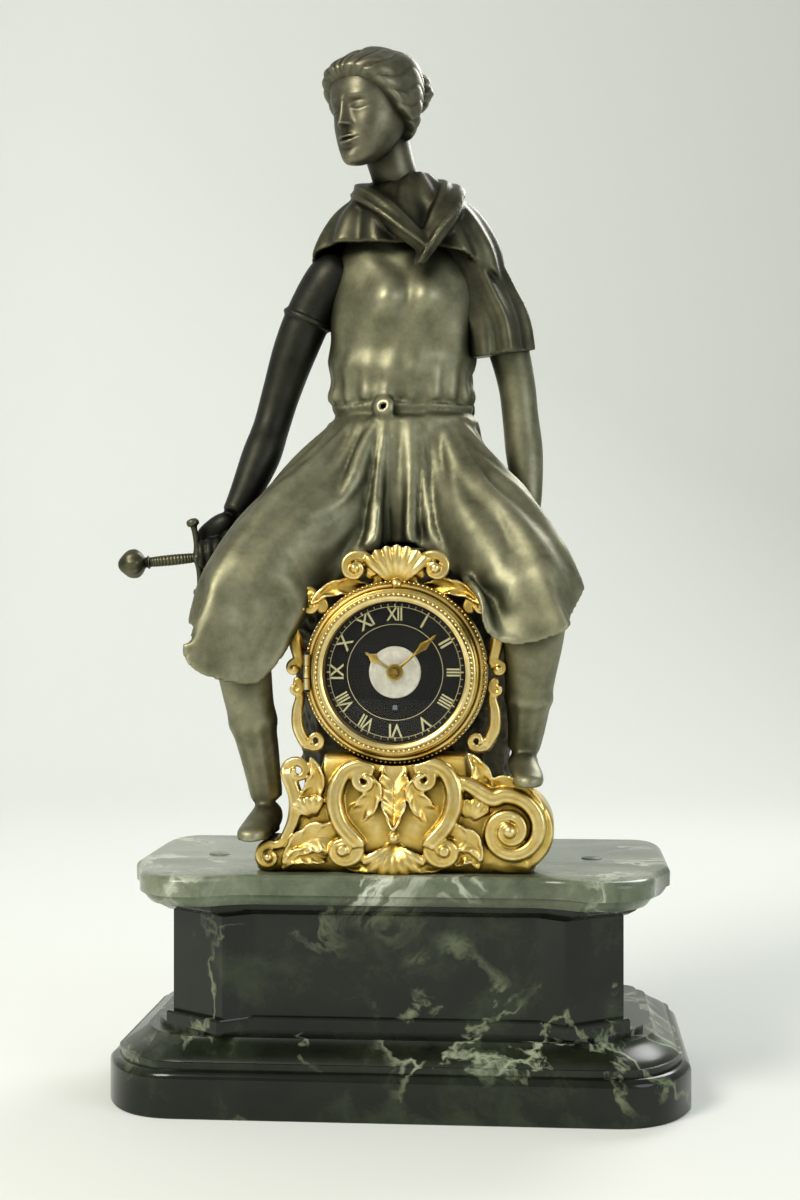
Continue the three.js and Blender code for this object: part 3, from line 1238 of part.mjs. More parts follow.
function footSolid(shares, footRest) {
  const unit = sittingHeight / 100;
  const sole = footRestLevel(footRest);
  const ankle = calfPath(shares, footRest, 0)[0];
  const side = Math.sign(ankle[0]);
  const path = footShares.map(([across, forward, wide, deep]) => [
    ankle[0] - side * across * unit, ankle[1] - forward * unit, sole + deep * unit, wide * unit, deep * unit,
  ]);
  const foot = solidOf(limb(path, { sides: 8, reference: up }));
  const heel = solidOf(limb([
    [ankle[0], ankle[1], sole + unit, 3 * unit, 3.2 * unit], [ankle[0], ankle[1], ankle[2] + unit, 3.5 * unit, 3.7 * unit],
  ], { round: [false, true] }));
  const belowSole = solidOf(block(-plinthWidth, plinthWidth, -plinthDepth, plinthDepth, -seatHeight, sole));
  return foot.add(heel).subtract(belowSole);
}

function torsoSolid(grow) {
  const rings = pathOf(torsoShares).map(([x, y, z, wide, deep]) => ovalRing(x, y, z, wide + grow, deep + grow));
  return solidOf(loft(rings));
}

// What the mound and the clock case fill, in the figure's own frame, grown by the gap that they keep
function moundClearance() {
  return solidOf(moundSkin(-fitGap)).translate([0, 0, -seatHeight]);
}

function caseClearance() {
  const rim = solidOf(rodY(caseRimRadius + fitGap, -plinthDepth, moundBack, 28));
  return rim.add(caseOrnaments(fitGap)).translate([0, 0, dialHeight - seatHeight]);
}

function buildFigureBody(parent) {
  const limbs = [
    limb(pathOf(lapShares), { sides: 10, reference: up, folds: 5, foldShare: 0.06 }),
    limb(pathOf(rightThighShares)),
    limb(pathOf(leftThighShares)),
    limb(calfPath(rightCalfShares, leftFootRest, kneeRise.right), { sides: 8 }),
    limb(calfPath(leftCalfShares, rightFootRest, kneeRise.left), { sides: 8 }),
    limb(pathOf(rightDrapeShares), { sides: drapeSides, folds: 5, foldShare: 0.07 }),
    limb(pathOf(leftDrapeShares), { sides: drapeSides, folds: 5, foldShare: 0.07 }),
  ];
  const body = limbs.reduce((whole, next) => whole.add(solidOf(next)), torsoSolid(0))
    .add(footSolid(rightCalfShares, leftFootRest))
    .add(footSolid(leftCalfShares, rightFootRest));
  addPiece(parent, 'figure_body', body.subtract(moundClearance()).subtract(caseClearance()).subtract(hiltClearance()),
    bronze);
}

const drapeSides = 10;

function limbSolid(shares, grow, sides = 10) {
  return solidOf(limb(pathOf(shares), { sides, grow }));
}

function buildArms(parent) {
  const body = torsoSolid(fitGap);
  const draped = (thigh, drape) => limbSolid(thigh, fitGap)
    .add(solidOf(limb(pathOf(drape), { sides: drapeSides, folds: 5, foldShare: 0.07, grow: fitGap })));
  const right = limbSolid(rightArmShares, 0).add(limbSolid(rightFistShares, 0));
  addPiece(parent, 'right_arm', right.subtract(body).subtract(draped(rightThighShares, rightDrapeShares))
    .subtract(hiltClearance()), darkBronze);
  const left = limbSolid(leftArmShares, 0).add(solidOf(limb(pathOf(leftHandShares), { sides: 10, reference: up })));
  addPiece(parent, 'left_arm', left.subtract(body).subtract(draped(leftThighShares, leftDrapeShares))
    .subtract(moundClearance()), bronze);
}

// Cloak: a yoke over the shoulders, a fall over the left arm and a long back

const yokeShares = [
  [1.5, 3.6, 55.5, 19.5, 12.6], [0.8, 3.4, 61, 18.6, 12], [0.2, 3, 65.6, 15.2, 10], [-0.4, 2.4, 69.4, 10.6, 8.2],
  [-0.6, 1.8, 71.4, 8.2, 7.4],
];
const sleeveShares = [
  [14, 4, 62, 7, 7], [18.8, 4, 57, 8, 8.4], [21.4, 5, 49, 7.6, 8.2], [23.4, 7, 40.5, 7.2, 7.8],
];
const backFallShares = [
  [0.5, 9, 60, 15, 5.4], [0.5, 11.4, 48, 18, 4.6], [0.2, 12.6, 32, 19, 4], [0, 13.4, 16, 20, 3.8],
  [0, 13.8, 1.4, 21, 3.6],
];

function buildCloak(parent) {
  const yoke = solidOf(loft(pathOf(yokeShares).map(([x, y, z, wide, deep], i) => ovalRing(x, y, z, wide, deep, {
    sides: 16, folds: 5, foldShare: 0.03, phase: i, lean: i === 0 ? -0.12 : 0,
  }))));
  const sleeve = solidOf(limb(pathOf(sleeveShares), { folds: 4, foldShare: 0.05, round: [true, false] }));
  const fall = solidOf(limb(pathOf(backFallShares), { sides: 16, folds: 7, foldShare: 0.05, round: [true, false] }));
  const cloth = yoke.add(sleeve).add(fall);
  const cut = [torsoSolid(fitGap), limbSolid(rightArmShares, fitGap), limbSolid(leftArmShares, fitGap),
    solidOf(limb(pathOf(neckShares), { grow: fitGap })), moundClearance()];
  addPiece(parent, 'cloak', cut.reduce((whole, solid) => whole.subtract(solid), cloth), darkBronze);
}

// Head, turned towards the sword hand and bowed. Its shares are hundredths of the head's own height.

const headHeightShare = 0.224;
const headTurn = -Math.PI * 0.22;
const headBow = Math.PI * 0.05;
const neckShares = [
  [0, 2.2, 68.6, 5.6, 5.8], [-1, 1.2, 72.6, 5, 5.2], [-2.6, -0.4, 77, 5, 5.2], [-4, -1.6, 83, 5, 5],
];
const headPlaceShares = [-4.8, -3.4, 76.4];
const headShares = [
  // height, half width, how far the front and the back stand from the ear line
  [0, 9, 33, -17], [6, 16, 37, 0], [14, 22, 37, 12], [22, 27, 37.5, 20], [32, 31, 36.5, 28], [45, 33, 34, 36],
  [55, 34.5, 38, 40], [70, 35, 36, 43], [82, 31, 29, 38], [93, 20, 16, 25], [99, 6, 3, 9],
];
const noseShares = [
  [0, -35, 56, 3.5, 4], [0, -41, 44, 4.5, 5], [0, -45, 36, 6, 5], [0, -40, 31, 6, 3],
];
const hairShares = [
  [46, 30, -14, 48], [58, 42, 24, 54], [72, 45, 41, 56], [86, 41, 37, 50], [97, 28, 22, 36], [104, 9, 6, 13],
];
const bunShares = [
  [0, 40, 70, 20, 17], [0, 55, 64, 22, 20], [0, 64, 56, 15, 15],
];

function headLoft(shares, height, sides) {
  return solidOf(loft(shares.map(([rise, half, front, back]) => {
    const [z, wide, forward, rear] = [rise, half, front, back].map((share) => share * height / 100);
    return ovalRing(0, (rear - forward) / 2, z, wide, (forward + rear) / 2, { sides });
  })));
}

function buildHead(parent) {
  const height = headHeightShare * sittingHeight;
  const skull = headLoft(headShares, height, 16)
    .add(solidOf(limb(scaled(noseShares, height), { sides: 6 })))
    .add(headLoft(hairShares, height, 16))
    .add(solidOf(limb(scaled(bunShares, height), { sides: 10, reference: up })));
  const place = headPlaceShares.map((share) => share * sittingHeight / 100);
  const degrees = (turn) => turn * 180 / Math.PI;
  const posed = skull.rotate([degrees(headBow), 0, 0]).rotate([0, 0, degrees(headTurn)]).translate(place);
  const neck = solidOf(limb(pathOf(neckShares), { round: [false, true] }));
  addPiece(parent, 'figure_head', posed.add(neck).subtract(torsoSolid(fitGap)), bronze);
}

// Sword hilt held level in the right fist: throat, cross guard, grip and pommel, turned about their own axis

const hiltPlaceShares = [-35.6, -8, -1.6];
const hiltRadius = 3.2;
const hiltDroop = -0.1;
const hiltForward = 0.14;
const guardLength = 50;
const gripLength = 34;
const pommelRadius = 8.5;
const throatLength = 18;

function hiltPlaced(geometry) {
  const place = hiltPlaceShares.map((share) => share * sittingHeight / 100);
  return geometry.rotateY(hiltDroop).rotateZ(hiltForward).translate(...place);
}

function buildSword(parent) {
  const guardX = -throatLength * 0.55;
  const grip = rodX(hiltRadius, guardX - gripLength, throatLength * 0.6, 8);
  const half = guardLength / 2;
  const thick = hiltRadius * 0.8;
  const guard = turnedZ([
    [0, -half], [thick * 1.6, -half], [thick, -half * 0.8], [thick * 1.5, 0], [thick, half * 0.8],
    [thick * 1.6, half], [0, half],
  ], 6);
  const pommel = turnedY([
    [0, 0], [pommelRadius * 0.7, 0], [pommelRadius, pommelRadius * 0.5], [pommelRadius, pommelRadius * 1.3],
    [pommelRadius * 0.6, pommelRadius * 2.1], [0, pommelRadius * 2.3],
  ], 10).rotateZ(Math.PI / 2);
  moved(guard, guardX, 0, 0);
  moved(pommel, guardX - gripLength, 0, 0);
  addPiece(parent, 'sword_hilt', joined(...[grip, guard, pommel].map(hiltPlaced)), darkBronze);
}

// The room that the fist and the drapery leave round the grip and the guard
function hiltClearance() {
  const guardX = -throatLength * 0.55;
  const room = hiltRadius * 1.4 + fitGap;
  const grip = rodX(room, guardX - gripLength, throatLength, 6);
  const guard = moved(rodZ(room, -guardLength / 2 - room, guardLength / 2 + room, 6), guardX, 0, 0);
  return solidOf(hiltPlaced(grip)).add(solidOf(hiltPlaced(guard)));
}

const clock = new THREE.Group();
buildPlinth(clock);

const works = new THREE.Group();
works.position.z = dialHeight;
clock.add(works);
buildDrum(works);
buildBezel(works);
buildDial(works);
buildPlates(works);
buildTrain(works);
buildMotionWork(works);
buildRatchet(works);
buildPendulum(works);
buildCaseFront(works);

buildScrollBase(clock);
buildMound(clock);

const figure = new THREE.Group();
figure.position.z = seatHeight;
clock.add(figure);
buildFigureBody(figure);
buildArms(figure);
buildCloak(figure);
buildHead(figure);
buildSword(figure);

export default clock;
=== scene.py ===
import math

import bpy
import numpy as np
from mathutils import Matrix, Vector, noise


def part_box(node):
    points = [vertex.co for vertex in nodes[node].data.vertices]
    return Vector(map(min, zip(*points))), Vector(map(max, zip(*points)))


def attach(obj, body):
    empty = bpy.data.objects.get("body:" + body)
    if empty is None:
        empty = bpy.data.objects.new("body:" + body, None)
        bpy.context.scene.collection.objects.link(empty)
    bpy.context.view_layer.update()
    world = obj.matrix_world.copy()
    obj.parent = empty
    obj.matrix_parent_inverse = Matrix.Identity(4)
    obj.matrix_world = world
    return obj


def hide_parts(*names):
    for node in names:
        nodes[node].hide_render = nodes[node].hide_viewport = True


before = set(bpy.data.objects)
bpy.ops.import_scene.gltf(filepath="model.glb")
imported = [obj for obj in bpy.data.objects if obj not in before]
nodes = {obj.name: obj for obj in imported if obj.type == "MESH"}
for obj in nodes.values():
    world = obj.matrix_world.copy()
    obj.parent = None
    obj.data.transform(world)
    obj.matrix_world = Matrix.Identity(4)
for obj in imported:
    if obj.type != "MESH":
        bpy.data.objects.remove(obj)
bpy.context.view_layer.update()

# %% [markdown]
# # A figural mantel clock
# The real object is a French mantel clock: a seated figure of patinated bronze over a gilt bronze clock case,
# on a stepped plinth of polished green marble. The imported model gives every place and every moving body. This
# script dresses it: each visible piece gets a finer form where the solid is plain, and a finish made of
# nodes.

MM = 0.001


def nothing_selected():
    """Operators act on all that is selected, so each step starts with nothing selected."""
    if bpy.context.mode != "OBJECT":
        bpy.ops.object.mode_set(mode="OBJECT")
    bpy.ops.object.select_all(action="DESELECT")


def only(*pieces):
    """Select these pieces alone, and make the first one active."""
    nothing_selected()
    for piece in pieces:
        piece.select_set(True)
    bpy.context.view_layer.objects.active = pieces[0]
    return pieces[0]


def removed(*pieces):
    only(*pieces)
    bpy.ops.object.delete()


def settled():
    """The piece at hand, with its place, turn and size taken into its mesh."""
    bpy.ops.object.transform_apply(location=True, rotation=True, scale=True)
    return bpy.context.object


def points_of(piece):
    """A mesh's points in millimetres, as rows of x, y, z."""
    co = np.empty(len(piece.data.vertices) * 3)
    piece.data.vertices.foreach_get("co", co)
    return co.reshape(-1, 3) / MM


def set_points(piece, points):
    piece.data.vertices.foreach_set("co", (np.asarray(points, float) * MM).ravel())
    piece.data.update()


def normals_of(piece):
    no = np.empty(len(piece.data.vertices) * 3)
    piece.data.vertices.foreach_get("normal", no)
    return no.reshape(-1, 3)


def apply_modifier(piece, kind, **settings):
    """Add a modifier, set it and apply it, as by hand."""
    only(piece)
    modifier = piece.modifiers.new(kind.title(), kind)
    for key, value in settings.items():
        setattr(modifier, key, value)
    bpy.ops.object.modifier_apply(modifier=modifier.name)
    return piece


def thickened(piece, thickness, offset=0.0):
    return apply_modifier(piece, "SOLIDIFY", thickness=thickness * MM, offset=offset)


def smooth(piece, angle=None):
    only(piece)
    if angle is None:
        bpy.ops.object.shade_smooth()
    else:
        bpy.ops.object.shade_smooth_by_angle(angle=math.radians(angle))
    return piece


def paint(material, piece):
    piece.data.materials.clear()
    piece.data.materials.append(material)
    for polygon in piece.data.polygons:
        polygon.material_index = 0


def dress(piece, material, slot, *replaced, body="clock_body"):
    """Give a piece its finish, its body, and the nodes of the model that it stands for. The slot is not used.
    """
    paint(material, piece)
    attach(piece, body)
    for node_name in replaced:
        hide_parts(node_name)
    return piece


# %% [markdown]
# A cast or carved surface is easiest to shape from a flat sheet of squares. The sheet is added as a grid,
# each point is moved by a rule that knows how far across and along it lies, and where the sheet meets itself
# its points are merged. The same few lines then make a limb, a leaf, a ring or a stone slab.

# %% A sheet that is bent into any form
def merge_close_points(distance):
    """Merge the points of the piece at hand that lie together, and turn its faces outwards."""
    bpy.ops.object.mode_set(mode="EDIT")
    bpy.ops.mesh.select_all(action="SELECT")
    bpy.ops.mesh.remove_doubles(threshold=distance * MM)
    bpy.ops.mesh.normals_make_consistent(inside=False)
    bpy.ops.object.mode_set(mode="OBJECT")


def sheet(name, rule, across, along):
    """rule takes arrays u and v, from 0 to 1 across and along the sheet, and returns points in mm."""
    nothing_selected()
    bpy.ops.mesh.primitive_grid_add(x_subdivisions=across, y_subdivisions=along, size=1)
    piece = bpy.context.object
    piece.name = piece.data.name = name
    flat = points_of(piece) * MM
    set_points(piece, rule(np.clip(flat[:, 0] + 0.5, 0, 1), np.clip(flat[:, 1] + 0.5, 0, 1)))
    merge_close_points(0.02)
    return smooth(piece)


def through(rows, t):
    """A smooth curve through rows of values, read at t from 0 to 1."""
    rows = np.asarray(rows, float)
    n = len(rows) - 1
    place = np.clip(np.asarray(t, float), 0, 1) * n
    i = np.minimum(place.astype(int), n - 1)
    f = (place - i)[:, None]
    before, a, b, after = (rows[np.clip(i + k, 0, n)] for k in (-1, 0, 1, 2))
    return 0.5 * (2 * a + (b - before) * f + (2 * before - 5 * a + 4 * b - after) * f ** 2
                  + (3 * a - before - 3 * b + after) * f ** 3)


def straight(rows, v):
    """Straight lines through rows of values, read at v from 0 to 1: one array for each column."""
    return [np.interp(v * (len(rows) - 1), np.arange(len(rows)), column)
            for column in np.asarray(rows, float).T]


def hill(t, at, wide):
    """A soft hill of height 1."""
    return np.exp(-((t - at) / wide) ** 2)


def bump(x, z, at_x, at_z, wide, tall):
    """A soft hill of height 1 on a front seen as x and z."""
    return np.exp(-((x - at_x) / wide) ** 2 - ((z - at_z) / tall) ** 2)


def rounded_ends(v, first, last):
    """1 along the middle, and at each end a quarter circle down to 0."""
    end = np.maximum(np.clip(1 - v / first, 0, 1), np.clip(1 - (1 - v) / last, 0, 1))
    return np.sqrt(np.clip(1 - end ** 2, 0, 1))


def joined(name, *pieces):
    """Several pieces made one mesh."""
    only(*pieces)
    bpy.ops.object.join()
    piece = bpy.context.object
    piece.name = piece.data.name = name
    return piece


# %% [markdown]
# Colours are written as the sRGB hex values that a colour picker shows. Blender's sockets take linear values,
# so one function turns them. Small functions add a node with its settings and links, and every finish is
# built with them.

# %% Colours and nodes
def colour(text):
    parts = [int(text[i:i + 2], 16) / 255 for i in (1, 3, 5)]
    return tuple(p / 12.92 if p <= 0.04045 else ((p + 0.055) / 1.055) ** 2.4 for p in parts) + (1.0,)


def link(material, value, socket):
    """Join another node's output to a socket, or set the socket to a plain value."""
    if isinstance(value, bpy.types.NodeSocket):
        material.node_tree.links.new(value, socket)
    else:
        socket.default_value = value


def node(material, kind, settings=None, **inputs):
    """Add a node. Settings are its properties, and each input is a value or another node's output."""
    made = material.node_tree.nodes.new("ShaderNode" + kind)
    for key, value in (settings or {}).items():
        setattr(made, key, value)
    for key, value in inputs.items():
        link(material, value, next(s for s in made.inputs if s.name.replace(" ", "_") == key and s.enabled))
    return made


def place_of(material):
    """Object coordinates, which are metres in the clock's own frame."""
    return node(material, "TexCoord").outputs["Object"]


def speckle(material, place, scale, detail, **more):
    return node(material, "TexNoise", Vector=place, Scale=scale, Detail=detail, **more).outputs["Fac"]


def remap(material, value, low, high, to_low=0.0, to_high=1.0):
    made = node(material, "MapRange", Value=value, From_Min=low, From_Max=high, To_Min=to_low, To_Max=to_high)
    return made.outputs[0]


def maths(material, operation, *values):
    made = node(material, "Math", {"operation": operation})
    for value, socket in zip(values, made.inputs):
        link(material, value, socket)
    return made.outputs[0]


def ramp(material, value, *stops):
    """A ramp of colours. Each stop is its place from 0 to 1 and its colour."""
    made = node(material, "ValToRGB", Fac=value)
    elements = made.color_ramp.elements
    while len(elements) < len(stops):
        elements.new(0.5)
    for element, (place, tint) in zip(elements, stops):
        element.position, element.color = place, colour(tint)
    return made.outputs["Color"]


def mixed(material, factor, first, second, blend="MIX"):
    made = node(material, "Mix", {"data_type": "RGBA", "blend_type": blend}, Factor=factor)
    link(material, first, made.inputs[6])
    link(material, second, made.inputs[7])
    return made.outputs[2]


def roughened(material, shader, height, strength, distance):
    """A fine unevenness that only the light shows."""
    made = node(material, "Bump", Height=height, Strength=strength, Distance=distance)
    link(material, made.outputs["Normal"], shader.inputs["Normal"])


def finish(name, **shader):
    """A material with one Principled shader, and what its sockets are set to."""
    material = bpy.data.materials.new(name)
    material.use_nodes = True
    principled = material.node_tree.nodes["Principled BSDF"]
    for key, value in shader.items():
        principled.inputs[key.replace("_", " ")].default_value = value
    return material, principled


# %% [markdown]
# ## The camera and the light
# The photograph looks level at the clock, a little from its right, so the top of the plinth is seen only as a
# thin band. A pale floor bends up into a pale wall. Three soft area lamps stand in for a studio, and the
# world is pale, so that polished marble and gilding have something light to mirror.

# %% Camera, lamps, floor and backdrop
FOCAL_PIXELS, HALF_HEIGHT_PIXELS = 1817.6, 600
CAMERA_DISTANCE, CAMERA_HEIGHT, CAMERA_TURN = 1.15, 0.303, math.radians(4.5)
AIM_OFF_PIXELS = 4
PAPER_GLOW = 0.1

scene = bpy.context.scene
scene.view_settings.view_transform = "Standard"

camera_data = bpy.data.cameras.new("Photograph view")
camera_data.sensor_fit = "VERTICAL"
camera_data.angle = 2 * math.atan(HALF_HEIGHT_PIXELS / FOCAL_PIXELS)
camera = bpy.data.objects.new("Photograph view", camera_data)
camera.location = (CAMERA_DISTANCE * math.sin(CAMERA_TURN), -CAMERA_DISTANCE * math.cos(CAMERA_TURN),
                   CAMERA_HEIGHT)
camera.rotation_euler = (math.pi / 2, 0, CAMERA_TURN + math.atan(AIM_OFF_PIXELS / FOCAL_PIXELS))
scene.collection.objects.link(camera)
scene.camera = camera


def lamp(name, place, aim, size, power, tint):
    data = bpy.data.lights.new(name, "AREA")
    data.shape, data.size, data.energy, data.color = "DISK", size, power, colour(tint)[:3]
    made = bpy.data.objects.new(name, data)
    made.location = place
    made.rotation_euler = (Vector(aim) - Vector(place)).to_track_quat("-Z", "Y").to_euler()
    scene.collection.objects.link(made)


lamp("Key, high on the left", (-1.1, -1.5, 1.55), (0, 0, 0.3), 0.9, 42, "#fff8ee")
lamp("Fill on the right", (1.6, -1.2, 0.8), (0, 0, 0.35), 1.2, 12, "#f1f6ff")
lamp("Rim behind", (0.7, 1.4, 1.4), (0, 0, 0.4), 0.9, 16, "#ffffff")

world = bpy.data.worlds.new("Pale studio")
scene.world = world
world.use_nodes = True
background = world.node_tree.nodes["Background"]
background.inputs["Color"].default_value = colour("#dfe4e0")
background.inputs["Strength"].default_value = 0.55


def studio_profile(u, v):
    """A floor that turns up into a wall behind. The path's rows are y and z in metres."""
    path = through([[-2.2, 0], [-1, 0], [0.4, 0], [1.2, 0], [1.75, 0.05], [2.1, 0.35], [2.2, 0.9],
                    [2.2, 2.2]], v)
    return np.column_stack([(u - 0.5) * 5000, path[:, 0] * 1000, path[:, 1] * 1000])


studio = sheet("studio_sweep", studio_profile, 4, 60)
paper, paper_shader = finish("Pale studio paper", Roughness=0.85)
across = node(paper, "SeparateXYZ", Vector=place_of(paper)).outputs["X"]
# Painted light: the paper is paler on the left, on the key lamp's side, and greyer on the right.
paper_painted_falloff = ramp(paper, remap(paper, across, -0.8, 0.8), (0.0, "#f1f3ee"), (1.0, "#d2d5cf"))
link(paper, paper_painted_falloff, paper_shader.inputs["Base Color"])
link(paper, paper_painted_falloff, paper_shader.inputs["Emission Color"])
rays = node(paper, "LightPath").outputs
seen = rays["Is Camera Ray"]
for ray in ("Is Glossy Ray", "Is Transmission Ray"):
    seen = maths(paper, "MAXIMUM", seen, rays[ray])
link(paper, maths(paper, "MULTIPLY", seen, PAPER_GLOW), paper_shader.inputs["Emission Strength"])
paint(paper, studio)
print("Camera at", tuple(round(c, 3) for c in camera.location))

# %% [markdown]
# ## Finishes
# Verde antico is a green marble with cloudy patches and thin pale veins. Sawn, ground and waxed, it mirrors
# softly. The clouds come from low noise, and the veins from the narrow band in which a second, warped noise
# passes its middle value. The slabs that catch the light are paler than the shaded front, so one stone comes
# in three tones, and the wax that fills the tie rods' holes is coloured after it.

# %% Polished green marble
VEIN_MIDDLE, VEIN_HALF_WIDTH = 0.5, 0.025


def green_stone(name, dark, middle, pale, vein, roughness):
    material, shader = finish(name, Roughness=roughness, Specular_IOR_Level=0.32)
    place = place_of(material)
    warp = node(material, "TexNoise", Vector=place, Scale=9.0, Detail=5.0, Roughness=0.6)
    pushed = node(material, "VectorMath", {"operation": "MULTIPLY_ADD"}, Vector=warp.outputs["Color"])
    pushed.inputs[1].default_value = (0.09, 0.09, 0.09)
    link(material, place, pushed.inputs[2])
    clouds = speckle(material, pushed.outputs[0], 16.0, 8.0, Roughness=0.62)
    body = ramp(material, clouds, (0.3, dark), (0.52, middle), (0.74, pale))
    streaks = speckle(material, pushed.outputs[0], 11.0, 9.0, Roughness=0.55, Distortion=0.6)
    lines = ramp(material, streaks, (VEIN_MIDDLE - VEIN_HALF_WIDTH, "#000000"), (VEIN_MIDDLE, "#ffffff"),
                 (VEIN_MIDDLE + VEIN_HALF_WIDTH, "#000000"))
    where = remap(material, speckle(material, place, 14.0, 2.0), 0.45, 0.62)
    veined = mixed(material, maths(material, "MULTIPLY", lines, where), body, colour(vein))
    link(material, veined, shader.inputs["Base Color"])
    roughened(material, shader, speckle(material, place, 260.0, 3.0), 0.03, 0.0005)
    return material


# Painted light: the same stone darkest on the shaded front, paler on the moulding, palest on the lit top.
green_marble = green_stone("Waxed green marble", "#060804", "#141a10", "#35412b", "#6f795c", 0.16)
pale_marble = green_stone("Waxed grey-green marble", "#2f372a", "#666f5a", "#979e87", "#c2c8b4", 0.2)
half_lit_marble = green_stone("Waxed clouded green marble", "#0a0d07", "#20271a", "#5b6650", "#98a286", 0.27)
stone_filler = green_stone("Stone-coloured filling wax", "#2b362d", "#5d6b5c", "#8d9a86", "#bcc6b2", 0.34)


# %% [markdown]
# Fire gilding leaves a warm, slightly grainy gold. The hollows of a casting keep the dull ground under the gold
# and a century of dust, while the high leaf edges are burnished, so the material asks how deep each point lies.
# The same darkening also paints the shade that falls in the hollows and beside nearby parts. Patinated bronze
# follows the same rule, with a dark ground and edges rubbed pale.

# %% Gilt and patinated bronze
def openness(material, distance):
    """From 0 deep in a hollow to 1 out in the open."""
    return node(material, "AmbientOcclusion", {"samples": 6, "only_local": False},
                Distance=distance).outputs["AO"]


def cast_metal(name, deep, middle, high, roughness, reach, grain, bumpy, metallic=1.0):
    """reach is how far away, in metres, a wall still makes a hollow. grain is the scale of the mottling."""
    material, shader = finish(name, Metallic=metallic)
    place = place_of(material)
    mottle = speckle(material, place, grain, 6.0, Roughness=0.65)
    # Painted shade, with dust and dull ground: darker where hollows or nearby parts enclose the surface.
    shifted = maths(material, "MULTIPLY_ADD", mottle, 0.5, openness(material, reach))
    edges = node(material, "NewGeometry").outputs["Pointiness"]
    total = maths(material, "ADD", shifted, remap(material, edges, 0.5, 0.62, 0.0, 0.35))
    tone = ramp(material, remap(material, total, 0.0, 1.6), (0.35, deep), (0.72, middle), (0.95, high))
    link(material, tone, shader.inputs["Base Color"])
    rough = remap(material, total, 0.4, 1.6, roughness + 0.25, roughness)
    link(material, rough, shader.inputs["Roughness"])
    roughened(material, shader, speckle(material, place, grain * 6, 4.0, Roughness=0.7), bumpy, 0.0006)
    return material


gilding = cast_metal("Fire gilding", "#54420f", "#cdab50", "#f8ecb8", 0.25, 0.008, 120.0, 0.12)
green_bronze = cast_metal("Grey-green patinated bronze", "#13130b", "#595a43", "#aca98b", 0.42, 0.016, 45.0,
                          0.1, 0.85)
face_bronze = cast_metal("Rubbed patinated bronze", "#11110a", "#3f3f2f", "#96927a", 0.37, 0.012, 45.0, 0.08,
                         0.85)
brown_bronze = cast_metal("Dark brown patinated bronze", "#090a06", "#2a2a1e", "#76745a", 0.36, 0.014, 45.0,
                          0.12, 0.85)
# Painted shade: a darker copy of the figure's bronze, for the arm on the left of the view.
shaded_arm_bronze = cast_metal("Bronze darkened for painted shade", "#060604", "#13140d", "#3e3f30", 0.4, 0.014, 45.0, 0.12, 0.7)
rock_bronze = cast_metal("Rough patinated bronze", "#0a0906", "#28251a", "#5d583f", 0.45, 0.014, 60.0, 0.4,
                         0.85)


# %% Worked brass and steel
def worked_metal(name, tint, roughness, scratch, direction):
    """Metal with the fine lines of its last tool. direction stretches the lines along one axis."""
    material, shader = finish(name, Metallic=1.0)
    lines = node(material, "Mapping", Vector=place_of(material), Scale=direction).outputs[0]
    grain = speckle(material, lines, scratch, 3.0)
    tone = remap(material, grain, 0.0, 1.0, 0.82, 1.08)
    link(material, mixed(material, 1.0, colour(tint), tone, "MULTIPLY"), shader.inputs["Base Color"])
    rough = remap(material, grain, 0.0, 1.0, roughness - 0.08, roughness + 0.1)
    link(material, rough, shader.inputs["Roughness"])
    return material


polished_brass = worked_metal("Polished clock brass", "#cfa24a", 0.26, 400.0, (1, 1, 8))
case_brass = worked_metal("Spun case brass", "#b08d48", 0.38, 300.0, (1, 1, 6))
blued_steel = worked_metal("Polished steel", "#9b9da1", 0.24, 500.0, (1, 6, 1))
spring_steel = worked_metal("Tempered spring steel", "#7f858c", 0.22, 420.0, (1, 9, 1))


def struck(name, tint, corner_tint, roughness, grain):
    """Metal darker in its corners and beside other parts: grime that hands and cloths miss, and painted shade.
    """
    material, shader = finish(name, Metallic=1.0)
    cloud = speckle(material, place_of(material), grain, 5.0, Roughness=0.6)
    # Painted shade, with grime: corners and places beside other parts come out darker.
    open_mottle = maths(material, "MULTIPLY", cloud, openness(material, 0.003))
    link(material, ramp(material, open_mottle, (0.2, corner_tint), (0.55, tint)), shader.inputs["Base Color"])
    rough = remap(material, cloud, 0.0, 1.0, roughness - 0.06, roughness + 0.12)
    link(material, rough, shader.inputs["Roughness"])
    return material


heated_steel = struck("Blue-heated steel", "#2b3f6e", "#141a2b", 0.24, 90.0)
dark_iron = struck("Oiled black iron", "#4a4640", "#1d1a17", 0.46, 60.0)
barrel_brass = struck("Lacquered barrel brass", "#c89b45", "#6b4a1a", 0.28, 70.0)

wheel_brass, wheel_shader = finish("Round-grained wheel brass", Metallic=1.0)
grain_rings = node(wheel_brass, "TexWave", {"wave_type": "RINGS", "rings_direction": "SPHERICAL"},
                   Vector=place_of(wheel_brass), Scale=900.0, Distortion=2.0, Detail=2.0).outputs["Fac"]
wheel_tint = ramp(wheel_brass, grain_rings, (0.0, "#b98a38"), (1.0, "#dcb35c"))
link(wheel_brass, wheel_tint, wheel_shader.inputs["Base Color"])
link(wheel_brass, remap(wheel_brass, grain_rings, 0.0, 1.0, 0.2, 0.34), wheel_shader.inputs["Roughness"])


# %% Enamel and glass
def enamel(name, roughness, specular, scale, detail, *stops):
    material, shader = finish(name, Roughness=roughness, Specular_IOR_Level=specular)
    tint = ramp(material, speckle(material, place_of(material), scale, detail), *stops)
    link(material, tint, shader.inputs["Base Color"])
    return material


black_enamel = enamel("Black enamelled dial", 0.5, 0.2, 45.0, 3.0, (0.3, "#0a0805"), (0.8, "#17110b"))
